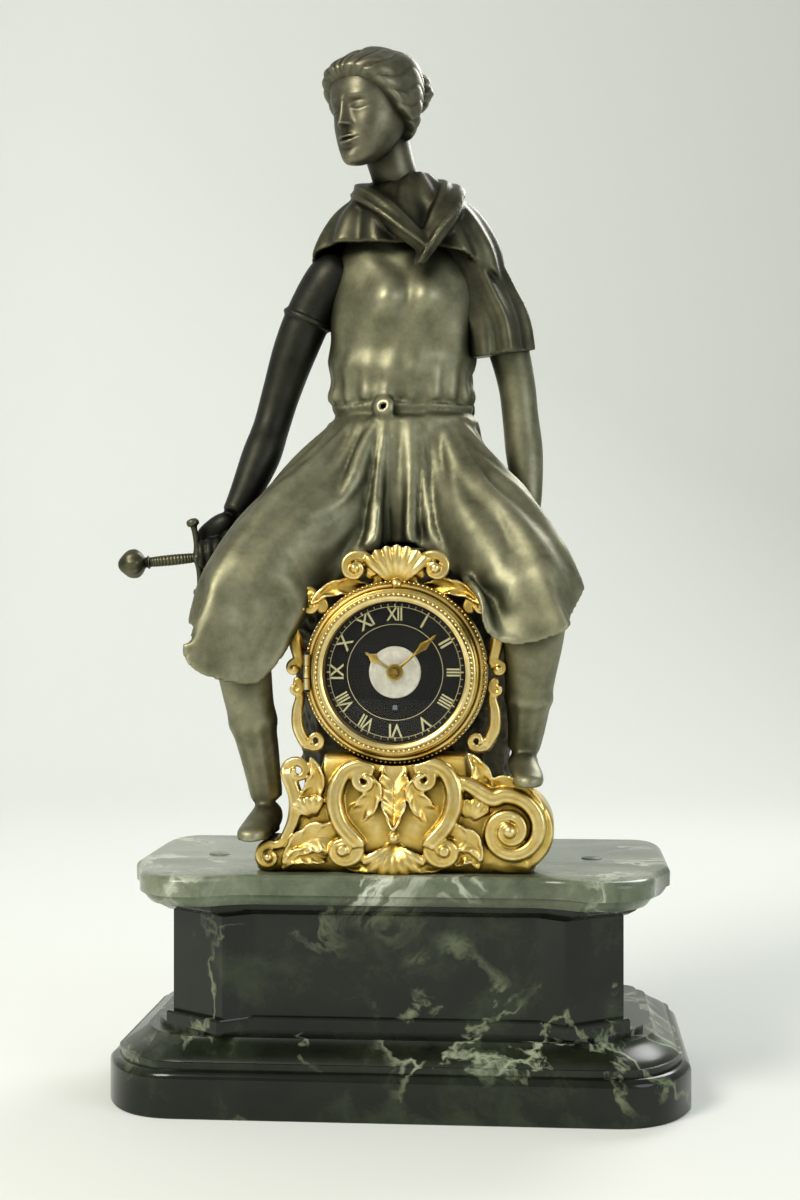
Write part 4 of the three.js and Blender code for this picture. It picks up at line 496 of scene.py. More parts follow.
# Painted reflection: the dial's middle is coloured pale and glossy where the dark dial shows a reflection.
centre_painted_reflection = enamel("Cream dial centre, painted reflection", 0.18, 0.5, 240.0, 5.0, (0.3, "#d2cab8"), (0.7, "#eee8da"))
clear = finish("Domed clock glass", Roughness=0.0, Transmission_Weight=1.0, IOR=1.2,
               Base_Color=colour("#fbfdfb"))[0]
print("Finishes:", [m.name for m in bpy.data.materials if m.use_nodes])


# %% [markdown]
# Castings are built from limbs. A limb is a sheet carried round a path, with closed, rounded ends. Limbs that
# belong to one casting are melted together, as a founder's wax is. Places on the figure are hundredths of its
# sitting height, measured from the middle of the seat.

# %% Limbs, and how they are melted together
UNIT, SEAT = 3.15, 335.0


def on_body(rows):
    """Hundredths of the sitting height, as millimetres in the clock's frame."""
    placed = np.asarray(rows, float) * UNIT
    placed[:, 2] += SEAT
    return placed


def unit(rows):
    return rows / np.linalg.norm(rows, axis=1)[:, None]


def heading(path, v):
    """The way that a path runs at v."""
    return unit(through(path[:, :3], np.clip(v + 0.01, 0, 1)) - through(path[:, :3], np.clip(v - 0.01, 0, 1)))


def limb(name, path, reference=(0, 1, 0), across=36, lengths=60, shape=None, ends=(0.12, 0.12)):
    """path rows are x, y, z, half width and half depth. shape(angle, v) swells or draws in the section."""
    path, reference = np.asarray(path, float), np.asarray(reference, float)

    def rule(u, v):
        place, ahead = through(path, v), heading(path, v)
        side = unit(np.cross(reference, ahead))
        deep = np.cross(ahead, side)
        size = rounded_ends(v, *ends)
        angle = u * 2 * math.pi
        if shape:
            size = size * shape(angle, v)
        return (place[:, :3] + side * (place[:, 3] * size * np.cos(angle))[:, None]
                + deep * (place[:, 4] * size * np.sin(angle))[:, None])

    return sheet(name, rule, across, lengths)


def melted(name, voxel, rounds, *pieces):
    """Closed forms that cross each other become one skin, which is then eased."""
    piece = joined(name, *pieces)
    apply_modifier(piece, "REMESH", mode="VOXEL", voxel_size=voxel * MM)
    apply_modifier(piece, "SMOOTH", factor=0.5, iterations=rounds)
    return smooth(piece)


# %% [markdown]
# ## The plinth
# A stone slab is sawn to an outline and its edges are ground to a moulding. Here a sheet runs once round the
# outline and, across it, from the middle of the underside, over the edge and back to the middle of the top.
# The outlines repeat the model's own numbers, with enough points for the curves to look ground and not cut.

# %% Outlines of the slabs
def outline_of(*steps):
    """An outline's right half, from front middle to back middle, and its mirror image on the left.

    Each step is the next corner, or the control point and the end of a curve."""
    parts, a = [], np.asarray(steps[0][-2:], float)
    t = np.linspace(0, 1, 40, endpoint=False)[:, None]
    for step in steps[1:]:
        control, b = np.asarray(step[:2], float), np.asarray(step[-2:], float)
        if len(step) == 4:
            parts.append(a * (1 - t) ** 2 + control * 2 * t * (1 - t) + b * t ** 2)
        else:
            parts.append(a * (1 - t) + b * t)
        a = b
    half = np.vstack(parts + [[a]])
    left = half[-2:0:-1] * [-1, 1]
    return np.vstack([half, left, half[:1]])


def along(outline, u):
    """Read a closed outline at u, by the distance walked round it."""
    steps = np.hypot(*np.diff(outline, axis=0).T)
    walked = np.concatenate([[0], np.cumsum(steps)]) / steps.sum()
    return np.column_stack([np.interp(u, walked, outline[:, k]) for k in (0, 1)])


base_outline = outline_of((0, -100), (128.48, -100), (164.12, -100, 176, -52.48), (176, 82.4),
                          (176, 100, 158.4, 100), (0, 100))
body_outline = outline_of((0, -78), (89.28, -78), (106.56, -90.48), (144, -62.4), (134.64, -51.48),
                          (134.64, 92), (0, 92))
top_outline = outline_of((0, -87), (79.2, -87), (95.7, -86, 112.2, -98.5), (145.2, -102, 153.45, -72),
                         (155.1, -52, 165, -30), (165, 55), (165, 95, 148.5, 95), (0, 95))


def stone_slab(name, outline, half_width, half_depth, profile):
    """profile is [height, how far the edge stands in] from the bottom to the top."""
    rows = np.asarray(profile, float)
    rows = np.vstack([[rows[0, 0], half_width], rows, [rows[-1, 0], half_width]])

    def rule(u, v):
        edge = along(outline, u)
        height, inset = straight(rows, v)
        k = v * (len(rows) - 1)
        middle = (k < 0.001) | (k > len(rows) - 1.001)
        x = np.where(middle, 0, edge[:, 0] * (1 - inset / half_width))
        y = np.where(middle, 0, edge[:, 1] * (1 - inset / half_depth))
        return np.column_stack([x, y, height])

    return smooth(sheet(name, rule, 420, len(rows) - 1), 24)


# %% The four slabs
BASE_TOP, MOULDING_TOP, BODY_TOP, PLINTH_TOP = 28, 47, 123, 141

base_edge = [[0, 0.5], [0.5, 0]] + [[BASE_TOP - 5 + 5 * math.sin(a), 5 - 5 * math.cos(a)]
                                    for a in np.linspace(0, math.pi / 2, 6)]
base = stone_slab("base_slab_dressed", base_outline, 176, 100, base_edge)
dress(base, green_marble, "green_marble", "plinth_base_slab")

cyma = [[BASE_TOP, 5.2], [31.8, 5.2]]
for share in np.linspace(0, 1, 12):
    swell = 0.5 - 0.5 * math.cos(math.pi * share)
    cyma.append([31.8 + 11.4 * share, 7 + 14.6 * (0.35 * share + 0.65 * swell)])
cyma += [[43.2, 27.8], [MOULDING_TOP, 27.8]]
moulding = stone_slab("moulding_dressed", base_outline, 176, 100, cyma)
dress(moulding, half_lit_marble, "pale_marble", "plinth_moulding")

panel = [[MOULDING_TOP, 3.8], [53.6, 3.8], [54.6, 4.6], [54.6, 7.6], [115.4, 7.6], [116.2, 5.2], [119.2, 0.6],
         [120.2, 0], [BODY_TOP, 0]]
pedestal = stone_slab("body_dressed", body_outline, 144, 92, panel)
dress(pedestal, green_marble, "green_marble", "plinth_body")

cornice = [[BODY_TOP, 6], [124.5, 4.6], [127, 2.8], [129.3, 2], [129.3, 0.2]]
cornice += [[PLINTH_TOP - 4 + 4 * math.sin(a), 4 - 4 * math.cos(a)] for a in np.linspace(0, math.pi / 2, 6)]
top = stone_slab("top_slab_dressed", top_outline, 165, 100, cornice)
dress(top, pale_marble, "pale_marble", "plinth_top_slab")
print("Plinth points:", [len(p.data.vertices) for p in (base, moulding, pedestal, top)])

# %% [markdown]
# ## The clock's face
# The case, bezel and sight ring are spun or turned, so each is a profile carried round an axis. The dial is a
# black disc with gilt Roman numerals and a pale middle, whose cream is a painted reflection. Numerals are text
# made into thin metal, as if applied to the dial.

# %% Turned pieces about the hands' axis
AXIS = 260.0
DIAL_FRONT = -68.0


def turned(name, profile, around=128, centre=(0, AXIS)):
    """profile is [radius, y] in millimetres, point by point."""
    def rule(u, v):
        radius, y = straight(profile, v)
        a = u * 2 * math.pi
        return np.column_stack([centre[0] + radius * np.cos(a), y, centre[1] + radius * np.sin(a)])

    return smooth(sheet(name, rule, around, len(profile) - 1), 35)


dial = turned("dial_dressed", [
    [0, DIAL_FRONT], [15.6, DIAL_FRONT], [41.6, DIAL_FRONT], [41.9, DIAL_FRONT + 0.4],
    [41.9, DIAL_FRONT + 1.5], [4.3, DIAL_FRONT + 1.5], [0, DIAL_FRONT + 1.5]])
dress(dial, black_enamel, "black_dial", "dial_plate")


def at_clock_angle(x, radius, a):
    """Points x beside a hand that points to angle a and radius out along it, as x and z in the frame."""
    return x * math.cos(a) - radius * math.sin(a), AXIS + x * math.sin(a) + radius * math.cos(a)


def numeral(text, hour, radius=34.2, height=8.2):
    """A Roman numeral that stands on the circle with its foot to the middle."""
    nothing_selected()
    bpy.ops.object.text_add(location=(0, 0, 0))
    letters = bpy.context.object
    letters.data.body = text
    letters.data.align_x, letters.data.align_y = "CENTER", "CENTER"
    letters.data.size, letters.data.extrude, letters.data.offset = height * MM * 1.35, 0.16 * MM, 0.12 * MM
    letters.data.space_character = 0.92
    only(letters)
    bpy.ops.object.convert(target="MESH")
    piece = bpy.context.object
    co = points_of(piece)
    narrowed = 0.78 if len(text) > 2 else 0.95
    x, z = at_clock_angle(co[:, 0] * narrowed, co[:, 1] + radius, -hour / 12 * 2 * math.pi)
    set_points(piece, np.column_stack([x, DIAL_FRONT - 0.18 - co[:, 2], z]))
    return piece


def minute_mark(index):
    nothing_selected()
    bpy.ops.mesh.primitive_cube_add(size=1)
    piece = bpy.context.object
    wide, tall, inwards = (0.9, 2.2, 0.35) if index % 5 == 0 else (0.35, 1.5, 0)
    co = points_of(piece) * MM
    x, z = at_clock_angle(co[:, 0] * wide, 40.1 + co[:, 2] * tall - inwards, -index / 60 * 2 * math.pi)
    set_points(piece, np.column_stack([x, DIAL_FRONT - 0.1 + co[:, 1] * 0.3, z]))
    return piece


numerals = [numeral(t, h) for h, t in enumerate("XII I II III IIII V VI VII VIII IX X XI".split())]
marks = [minute_mark(i) for i in range(60)]
track = [turned(f"track_{r}", [
    [r, DIAL_FRONT - 0.12], [r + 0.35, DIAL_FRONT - 0.12], [r + 0.35, DIAL_FRONT + 0.3],
    [r, DIAL_FRONT + 0.3], [r, DIAL_FRONT - 0.12]]) for r in (28.4, 38.9)]
dress(joined("chapter_ring", *numerals, *marks, *track), gilding, "gilt_bronze")

middle = turned("dial_middle", [[4.4, -68.3], [4.4, -68.8], [12.6, -68.8], [13.0, -68.6], [13.6, -68.8],
                                [15.0, -68.8], [15.5, -68.3], [4.4, -68.3]])
# The cream middle is a painted reflection on the dark dial.
dress(middle, centre_painted_reflection, "cream_enamel", "dial_centre")


# %% [markdown]
# The hands are gilt and crowned along the middle, each a leaf shape from its boss to its tip. They show eight
# minutes past ten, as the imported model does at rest.

# %% Hands
def hand(name, length, broad, boss, clock_turn, front, body, replaced):
    """A leaf-shaped hand, from a sheet that runs from its boss to its tip."""
    shape = np.array([[boss * 0.9 / length, 0.9], [0.35, 0.7], [0.5, 0.8], [0.6, broad * 0.55], [0.69, broad],
                      [0.78, broad * 0.6], [0.86, 0.75], [0.93, 0.9], [1.0, 0.05]])

    def rule(u, v):
        reach, half = straight(shape, v)
        s = (u - 0.5) * 2
        x, z = at_clock_angle(s * half, reach * length, -clock_turn)
        return np.column_stack([x, -front - 0.35 * (1 - s ** 2) + 0.35, z])

    blade = thickened(sheet(name, rule, 12, 60), 0.4, -1)
    ring = turned(name + "_boss", [
        [boss * 0.62, -front + 0.6], [boss * 0.62, -front - 0.1], [boss * 0.85, -front - 0.3],
        [boss * 1.1, -front - 0.1], [boss * 1.1, -front + 0.6], [boss * 0.62, -front + 0.6]], 48)
    return dress(smooth(joined(name, blade, ring), 40), gilding, "gilt_bronze", replaced, body=body)


HOURS, MINUTES = 10, 8
hour_turn, minute_turn = (HOURS + MINUTES / 60) / 12 * 2 * math.pi, MINUTES / 60 * 2 * math.pi
hand("hour_hand_dressed", 21.5, 3.2, 4.6, hour_turn, 70.5, "hour_group", "hour_hand")
hand("minute_hand_dressed", 33.5, 2.6, 3.9, minute_turn, 72.6, "centre_arbor", "minute_hand")

# %% [markdown]
# The bezel is a turned ring with a bead, a hollow and a row of small pearls round it, which a milling wheel
# cuts. One pearl is a small sphere, and copies of it are set round the ring.


# %% Bezel, pearls, glass and sight ring
HINGE_X, HINGE_Y, KNUCKLE_RADIUS = -52.4, -70.2, 2.3


def pearls(name, count, radius, ring_radius, y):
    made = []
    for a in np.linspace(0, 2 * math.pi, count, endpoint=False):
        nothing_selected()
        bpy.ops.mesh.primitive_ico_sphere_add(subdivisions=2, radius=radius * MM, location=(
            ring_radius * math.cos(a) * MM, y * MM, (AXIS + ring_radius * math.sin(a)) * MM))
        made.append(bpy.context.object)
    joined(name, *made)
    return smooth(settled())


def knuckle(z, tall):
    """A knuckle of the bezel's hinge."""
    nothing_selected()
    bpy.ops.mesh.primitive_cylinder_add(vertices=24, radius=KNUCKLE_RADIUS * MM, depth=tall * MM,
                                        location=(HINGE_X * MM, HINGE_Y * MM, z * MM))
    return settled()


bezel = turned("bezel_turned", [
    [47.6, -70.2], [49.9, -70.2], [49.9, -72.4], [49.5, -73.2], [48.6, -73.6], [48.6, -74.4], [49.0, -75.0],
    [48.9, -76.2], [48.2, -77.2], [47.2, -77.6], [46.4, -77.4], [45.9, -77.8], [45.6, -78.6], [44.9, -79.1],
    [43.9, -79.0], [43.0, -78.3], [42.5, -78.0], [42.5, -77.9], [44.2, -77.85], [47.6, -77.65],
    [47.6, -70.2]], 144)
bezel_pearls = pearls("bezel_pearls", 96, 1.0, 46.3, -77.6)
middle_knuckle = smooth(apply_modifier(knuckle(AXIS, 6.9), "BEVEL", width=0.4 * MM, segments=2), 40)
bezel = joined("bezel_dressed", bezel, bezel_pearls, middle_knuckle)
dress(bezel, gilding, "gilt_bronze", "bezel_ring", body="bezel")

GLASS_RADIUS = 47.2
dome = [(r, 2.1 * (1 - (r / GLASS_RADIUS) ** 2)) for r in np.linspace(0, GLASS_RADIUS, 14)]
glass_profile = [[r, -77.28 - h] for r, h in dome] + [[r, -75.8 - h] for r, h in dome[::-1]]
glass = turned("glass_dressed", glass_profile, 128)
dress(glass, clear, "clear_glass", "bezel_glass", body="bezel")

sight = turned("sight_ring_dressed", [[42.4, -75.4], [47.0, -75.4], [47.0, -70.5], [46.2, -71.2],
                                      [44.8, -72.2], [44.4, -73.6], [43.0, -74.2], [42.4, -75.4]], 128)
dress(sight, gilding, "gilt_bronze", "sight_ring", body="bezel")
print("The clock's face is dressed, with", len(numerals), "numerals and", len(marks), "minute marks")

# %% [markdown]
# ## The gilt case
# The case is a rococo casting: C- and S-shaped scrolls with coiled ends, acanthus leaves and a shell crest
# round a moulded rim. A scroll is a limb whose section has a groove along its front. A leaf is a sheet with a
# raised middle rib and a lobed edge. They are melted together into one gilt casting.

# %% Scrolls, leaves and shells
def evenly(rows, n):
    """The same smooth path, with its points at even distances."""
    fine = through(rows, np.linspace(0, 1, 1200))
    steps = np.linalg.norm(np.diff(fine[:, :3], axis=0), axis=1)
    walked = np.concatenate([[0], np.cumsum(steps)]) / steps.sum()
    return np.column_stack([np.interp(np.linspace(0, 1, n), walked, column) for column in fine.T])


def coil(x, z, outer, inner, first, turns, y, size, lift=3.0, n=16):
    """Points of a spiral seen from the front, from its outer end to its eye. Angles are in degrees."""
    t = np.linspace(0, 1, n)
    radius = outer * (inner / outer) ** t
    a = np.radians(first + turns * 360 * t)
    return [[x + r * math.cos(b), y - lift * s, z + r * math.sin(b),
             size * (1 - 0.62 * s), size * (0.8 - 0.25 * s)] for r, b, s in zip(radius, a, t)]


def groove(a, v):
    return 1 - 0.3 * hill(a, 1.5 * math.pi, 0.5)


def scroll(name, rows, lengths=150):
    return limb(name, evenly(rows, 60), across=20, lengths=lengths, shape=groove, ends=(0.02, 0.02))


def ball(name, x, y, z, radius):
    nothing_selected()
    bpy.ops.mesh.primitive_uv_sphere_add(segments=24, ring_count=14, radius=radius * MM,
                                         location=(x * MM, y * MM, z * MM))
    piece = settled()
    piece.name = piece.data.name = name
    return piece


def leaf(name, rows, wide, lobes=4, crown=2.2):
    """rows are the middle rib's x, y, z. The leaf is widest near its root and curls as its rib does."""
    rows = evenly(np.asarray(rows, float), 30)

    def rule(u, v):
        ahead = heading(rows, v)
        side = unit(np.cross(ahead, [0, 1, 0.001]))
        out = np.cross(side, ahead)
        s = (u - 0.5) * 2
        lobe = np.abs(np.cos(math.pi * lobes * (v + 0.12 * np.abs(s))))
        half = wide * np.sin(math.pi * (0.1 + 0.9 * v) ** 0.8) ** 0.75 * (0.76 + 0.24 * lobe ** 0.6)
        height = crown * (1 - s ** 2) + 0.9 * hill(s, 0, 0.09) - 0.7 * (1 - lobe) * np.abs(s)
        return through(rows, v) + side * (half * s)[:, None] + out * height[:, None]

    return thickened(sheet(name, rule, 40, 90), 1.6)


def shell(name, x, y, z, radius, first, last, ribs=7, bulge=5.0):
    """A fan of ribs from a point, between two angles in degrees."""
    def rule(u, v):
        a = np.radians(first + (last - first) * u)
        rib = np.abs(np.cos(math.pi * ribs * (u - 0.5 / ribs)))
        r = radius * v * (0.93 + 0.07 * rib)
        lift = bulge * np.sin(math.pi * v * 0.75) + 1.5 * rib * v
        return np.column_stack([x + r * np.cos(a), y - lift, z + r * np.sin(a)])

    return thickened(sheet(name, rule, 90, 30), 1.8)


def on_side(side, rows):
    """Rows as they are for the right of the view (side 1), and mirrored for the left (side -1)."""
    return [[side * row[0], *row[1:]] for row in rows]


# %% Case front: rim, crest and side scrolls
rim = turned("rim", [
    [50.35, -52.2], [50.35, -70.0], [51.2, -70.6], [52.2, -70.4], [52.8, -69.4], [53.2, -67.8], [54.2, -67.2],
    [54.8, -66], [54.6, -64.4], [53.6, -63.2], [53.4, -60.4], [54.6, -58.6], [55, -56], [54.8, -53.4],
    [54.2, -52.2], [50.35, -52.2]], 160)
upper = (coil(50.5, 300, 7.5, 2.2, 200, -1.3, -63.5, 3.2, lift=2.4)[::-1]
         + [[52.5, -62.5, 308.5, 3.4, 3.6], [60, -62, 300, 3.8, 3.8], [62.2, -61.5, 288, 4.0, 4.0],
            [60.4, -61.5, 275, 3.8, 3.8], [57.6, -61.5, 266, 3.4, 3.4]]
         + coil(61, 262, 5.0, 1.8, 150, -1.0, -62.5, 2.6, lift=1.6))
lower = (coil(60.4, 250, 4.6, 1.6, 100, 1.0, -62.5, 2.4, lift=1.6)[::-1]
         + [[57.8, -61.5, 245, 3.0, 3.2], [59.4, -61.5, 236, 3.6, 3.6], [58.8, -61.5, 226, 3.8, 3.8],
            [54, -61.5, 216, 3.6, 3.6]]
         + coil(48.5, 219, 5.4, 2.0, -40, -1.1, -62.5, 2.8, lift=1.6))
case_parts = []
for side in (1, -1):
    lobe = coil(side * 24, 322, 10.5, 2.6, 200 if side > 0 else -20, -1.35 * side, -65, 3.8, lift=4)[::-1]
    lobe += on_side(side, [[15.5, -63, 327, 3.8, 3.8], [10, -62.5, 316, 3.4, 3.6], [14, -62, 308, 3.0, 3.4]])
    crest_rib = on_side(side, [[12, -60, 306], [28, -64, 311], [42, -66, 308], [50, -69, 301]])
    side_rib = on_side(side, [[57, -60, 272], [61.5, -63.5, 282], [61, -67, 292], [55, -69, 298]])
    case_parts += [
        scroll("side_scroll", on_side(side, upper)), scroll("side_scroll", on_side(side, lower)),
        ball("eye", side * 50.5, -65.5, 300, 2.6), ball("eye", side * 61, -64, 262, 2.0),
        scroll("crest_lobe", lobe), ball("eye", side * 24, -69, 322, 3.2),
        leaf("crest_leaf", crest_rib, 5.5), leaf("side_leaf", side_rib, 4.0, lobes=3, crown=1.2)]
case_parts += [shell("crest_shell", 1, -63, 309, 27, 40, 140), ball("crest_pearl", 1, -68.5, 312, 3.6),
               leaf("crest_fall", [[1, -68, 312], [1, -70.5, 306], [1, -69.5, 302]], 4.0, lobes=2, crown=1.0)]
ornament = melted("case_ornament", 0.62, 2, *case_parts)
rim_pearls = pearls("rim_pearls", 120, 0.85, 53.9, -67.6)
outer_knuckles = [smooth(knuckle(z, 6.6), 40) for z in (252.9, 267.1)]
case_front = joined("case_front_dressed", ornament, rim, rim_pearls, *outer_knuckles)
dress(case_front, gilding, "gilt_bronze", "case_front")

# %% [markdown]
# The base under the case is one casting from end to end: a bowed apron that follows the case above it, and a
# rolled foot at each end, the right one higher. They are made plain and smooth first, and the scrolls are
# laid on them.

# %% Scrolled base
RIM_CLEARANCE = 55.6
BASE_FRONT_LIMIT = -84.0


def apron_rule(u, v):
    x = -84 + 168 * u
    top = np.interp(x, [-84, -80, -69, -61, -52, -46, -42, 42, 46, 54, 64, 71, 79, 84],
                    [146, 153, 160, 176, 188, 198, 211, 211, 200, 190, 184, 168, 156, 148])
    size = rounded_ends(u, 0.04, 0.04)
    walk = through([[-40, 0], [-55, 0], [-70, 0], [-74, 0.12], [-75.5, 0.35], [-74.5, 0.62], [-72, 0.86],
                    [-68, 0.99], [-58, 1], [-48, 1], [-40, 1], [-40, 0.5], [-40, 0]], v)
    y = -58 + (walk[:, 0] + 58) * size
    middle = (PLINTH_TOP + top) / 2
    z = PLINTH_TOP + (top - PLINTH_TOP) * np.clip(walk[:, 1], 0, 1)
    return np.column_stack([x, y, middle + (z - middle) * size])


def rolled_foot(x, r):
    return turned("rolled_foot", [
        [0, -77], [r * 0.16, -77], [r * 0.3, -75.6], [r * 0.5, -74.6], [r * 0.8, -74.4], [r * 0.95, -73.6],
        [r, -71], [r, -60], [r, -40], [0, -40]], 72, centre=(x, PLINTH_TOP + r))


base_parts = [
    sheet("apron", apron_rule, 160, 90), rolled_foot(68.3, 26.2), rolled_foot(-74.4, 9.6),
    scroll("big_volute", [[36, -75, 196, 3.6, 4.4], [44, -76, 194, 4.4, 5]]
           + coil(68.3, 167.2, 22.2, 4, 120, -2.1, -76, 5.0, lift=3.5, n=38), lengths=280),
    ball("big_eye", 68.3, -79.5, 167.2, 4.4), ball("small_eye", -74.5, -80, 150.6, 2.8),
    scroll("left_s", coil(-74.5, 150.6, 8.0, 2.2, 60, 1.4, -76, 2.6, lift=3.5, n=18)[::-1]
           + [[-66, -75, 160, 3.2, 4], [-60, -74, 172, 4, 4.6], [-59, -73, 186, 4.4, 4.8],
              [-64, -72, 199, 4.2, 4.4]]
           + coil(-57.5, 201, 7.4, 2.2, 170, -1.15, -72, 3.4), lengths=220),
    scroll("left_c", coil(-17, 196, 7.5, 2.2, 60, 1.2, -77, 3.6)[::-1]
           + [[-21, -76, 205, 4.2, 4.6], [-30, -76, 200, 4.8, 5], [-35, -77, 187, 5.2, 5.4],
              [-32, -78, 172, 5.2, 5.6], [-22, -79, 160, 5.0, 5.4]]
           + coil(-30, 155.5, 9.5, 2.6, 20, -1.25, -78, 4.4), lengths=220),
    scroll("right_c", coil(17, 197, 7.5, 2.2, 120, -1.2, -77, 3.8)[::-1]
           + [[22, -76, 206, 4.4, 4.8], [32, -76, 200, 5.2, 5.2], [36, -77, 187, 5.4, 5.6],
              [32, -78, 172, 5.2, 5.6], [22, -79, 160, 5.0, 5.4]]
           + coil(30, 155.5, 9.5, 2.6, 160, 1.25, -78, 4.4), lengths=220),
    leaf("left_leaf", [[-24, -76, 158], [-42, -80, 163], [-56, -79, 158], [-66, -78, 147]], 9.5, lobes=5),
    leaf("right_leaf", [[24, -76, 158], [36, -80, 163], [46, -80, 160], [52, -78, 150]], 8.5),
    leaf("left_rise", [[-48, -70, 168], [-50, -75, 184], [-46, -76, 198], [-50, -74, 209]], 7.0),
    leaf("right_rise", [[44, -70, 182], [52, -75, 194], [50, -76, 204], [44, -73, 212]], 7.0),
    leaf("volute_leaf", [[50, -72, 190], [64, -77, 194], [78, -78, 190], [88, -76, 180]], 6.0),
    leaf("middle_leaf", [[0, -70, 206], [0, -76, 194], [0, -79, 180], [0, -83, 168]], 9.5, lobes=5, crown=3),
    leaf("left_low_leaf", [[-40, -76, 150], [-50, -79, 152], [-60, -79, 150], [-66, -77, 144]], 5.5),
    leaf("right_low_leaf", [[34, -76, 148], [40, -79, 152], [46, -79, 152], [50, -77, 145]], 5.5, lobes=3),
    shell("base_shell", 0, -73, 160, 22, -155, -25, bulge=6),
    shell("left_fan", -48, -72, 172, 15, 60, 150, ribs=5, bulge=4),
    shell("right_fan", 44, -72, 171, 15, 30, 120, ribs=5, bulge=4), ball("middle_pearl", 0, -79, 163, 3.4),
]
for side in (-1, 1):
    inner_rib = on_side(side, [[26, -74, 172], [16, -78, 182], [12, -79, 192], [18, -77, 202]])
    foot_rib = on_side(side, [[30, -74, 147], [14, -79, 146], [4, -79, 150]])
    base_parts += [ball("lobe_eye", side * 30, -81, 155.5, 3.8), leaf("inner_leaf", inner_rib, 6.5),
                   leaf("foot_leaf", foot_rib, 4.5, lobes=3, crown=1.4)]
scroll_base = melted("scroll_base_cast", 0.75, 2, *base_parts)
co = points_of(scroll_base)
from_axis = np.hypot(co[:, 0], co[:, 2] - AXIS)
push = np.where(from_axis < RIM_CLEARANCE, RIM_CLEARANCE / np.maximum(from_axis, 1), 1.0)
co[:, 0] *= push
co[:, 2] = np.maximum(AXIS + (co[:, 2] - AXIS) * push, PLINTH_TOP)
co[:, 1] = np.maximum(co[:, 1], BASE_FRONT_LIMIT)
set_points(scroll_base, co)
dress(scroll_base, gilding, "gilt_bronze", "scroll_base")
print("Gilt castings:", len(case_front.data.polygons), "and", len(scroll_base.data.polygons), "faces")

# %% [markdown]
# The mound under the figure is cast as rough rock. It is the model's own mound with its faces divided, and
# each point of its outside is pressed in by rock-like noise: broad hollows, ledges and small grit.

# %% Rock mound
def core_of(node_name):
    """A merged copy of a node of the model, to work on."""
    only(nodes[node_name])
    bpy.ops.object.duplicate()
    copy = bpy.context.object
    matrix = copy.matrix_world.copy()
    copy.parent = None
    copy.data.transform(matrix)
    copy.matrix_world = Matrix.Identity(4)
    merge_close_points(0.01)
    return copy


MOUND_BORE, MOUND_FOOT, MOUND_SEAT = 53, 143, 333

mound = core_of("seat_mound")
mound.name = mound.data.name = "mound_cast"
apply_modifier(mound, "REMESH", mode="VOXEL", voxel_size=1.8 * MM)
co, outward = points_of(mound), normals_of(mound)
pressed = np.empty(len(co))
for i, (x, y, z) in enumerate(co):
    at = Vector((x, y, z * 1.3))
    broad = noise.noise(at / 21)
    ledge = abs(noise.noise(at / 9 + Vector((7, 3, 1))))
    grit = noise.noise(at / 3.2)
    pressed[i] = 2.0 - 2.6 * broad + 3.4 * ledge + 0.7 * grit
x, y, z = co.T
outside = (np.hypot(x, z - AXIS) > MOUND_BORE) & (z > MOUND_FOOT) & (z < MOUND_SEAT)
facing_out = (outward[:, 0] * x + outward[:, 1] * (y - 6)) > 0
co -= outward * (np.clip(pressed, 0, 4) * outside * facing_out)[:, None]
set_points(mound, co)
apply_modifier(mound, "SMOOTH", factor=0.4, iterations=1)
dress(smooth(mound), rock_bronze, "dark_bronze", "seat_mound")
print("The mound has", len(mound.data.polygons), "faces")

# %% [markdown]
# ## The figure
# The seated figure is one large bronze casting with head, arms and cloak cast apart and fitted. The bodice is
# soft cloth held by a belt. Its rings are the torso's own, and the cloth's folds are added along them: fine
# upright gathers above and below the belt, and slack folds that hang between the shoulders.

# %% Torso with bodice and belt
BELT_HEIGHT = 421
torso_rings = on_body([
    [-0.6, 4.5, -1.0, 14.5, 9.5], [-0.8, 3.8, 6, 15.6, 11.4], [-0.9, 3.8, 14, 15.2, 11.2],
    [-0.5, 4.2, 22, 13.6, 10], [-0.5, 4.2, 27, 13.0, 9.3], [-1.0, 4.0, 32, 14.4, 10.0],
    [-0.5, 3.6, 40, 14.8, 10.2], [0.3, 3, 47.5, 15.6, 10.4], [0.4, 2.8, 53.5, 15.4, 9.6],
    [0, 2.8, 58.5, 13.6, 8.2], [0, 2.6, 63.6, 10.4, 6.8], [0, 2.2, 69, 5.8, 5.6]])


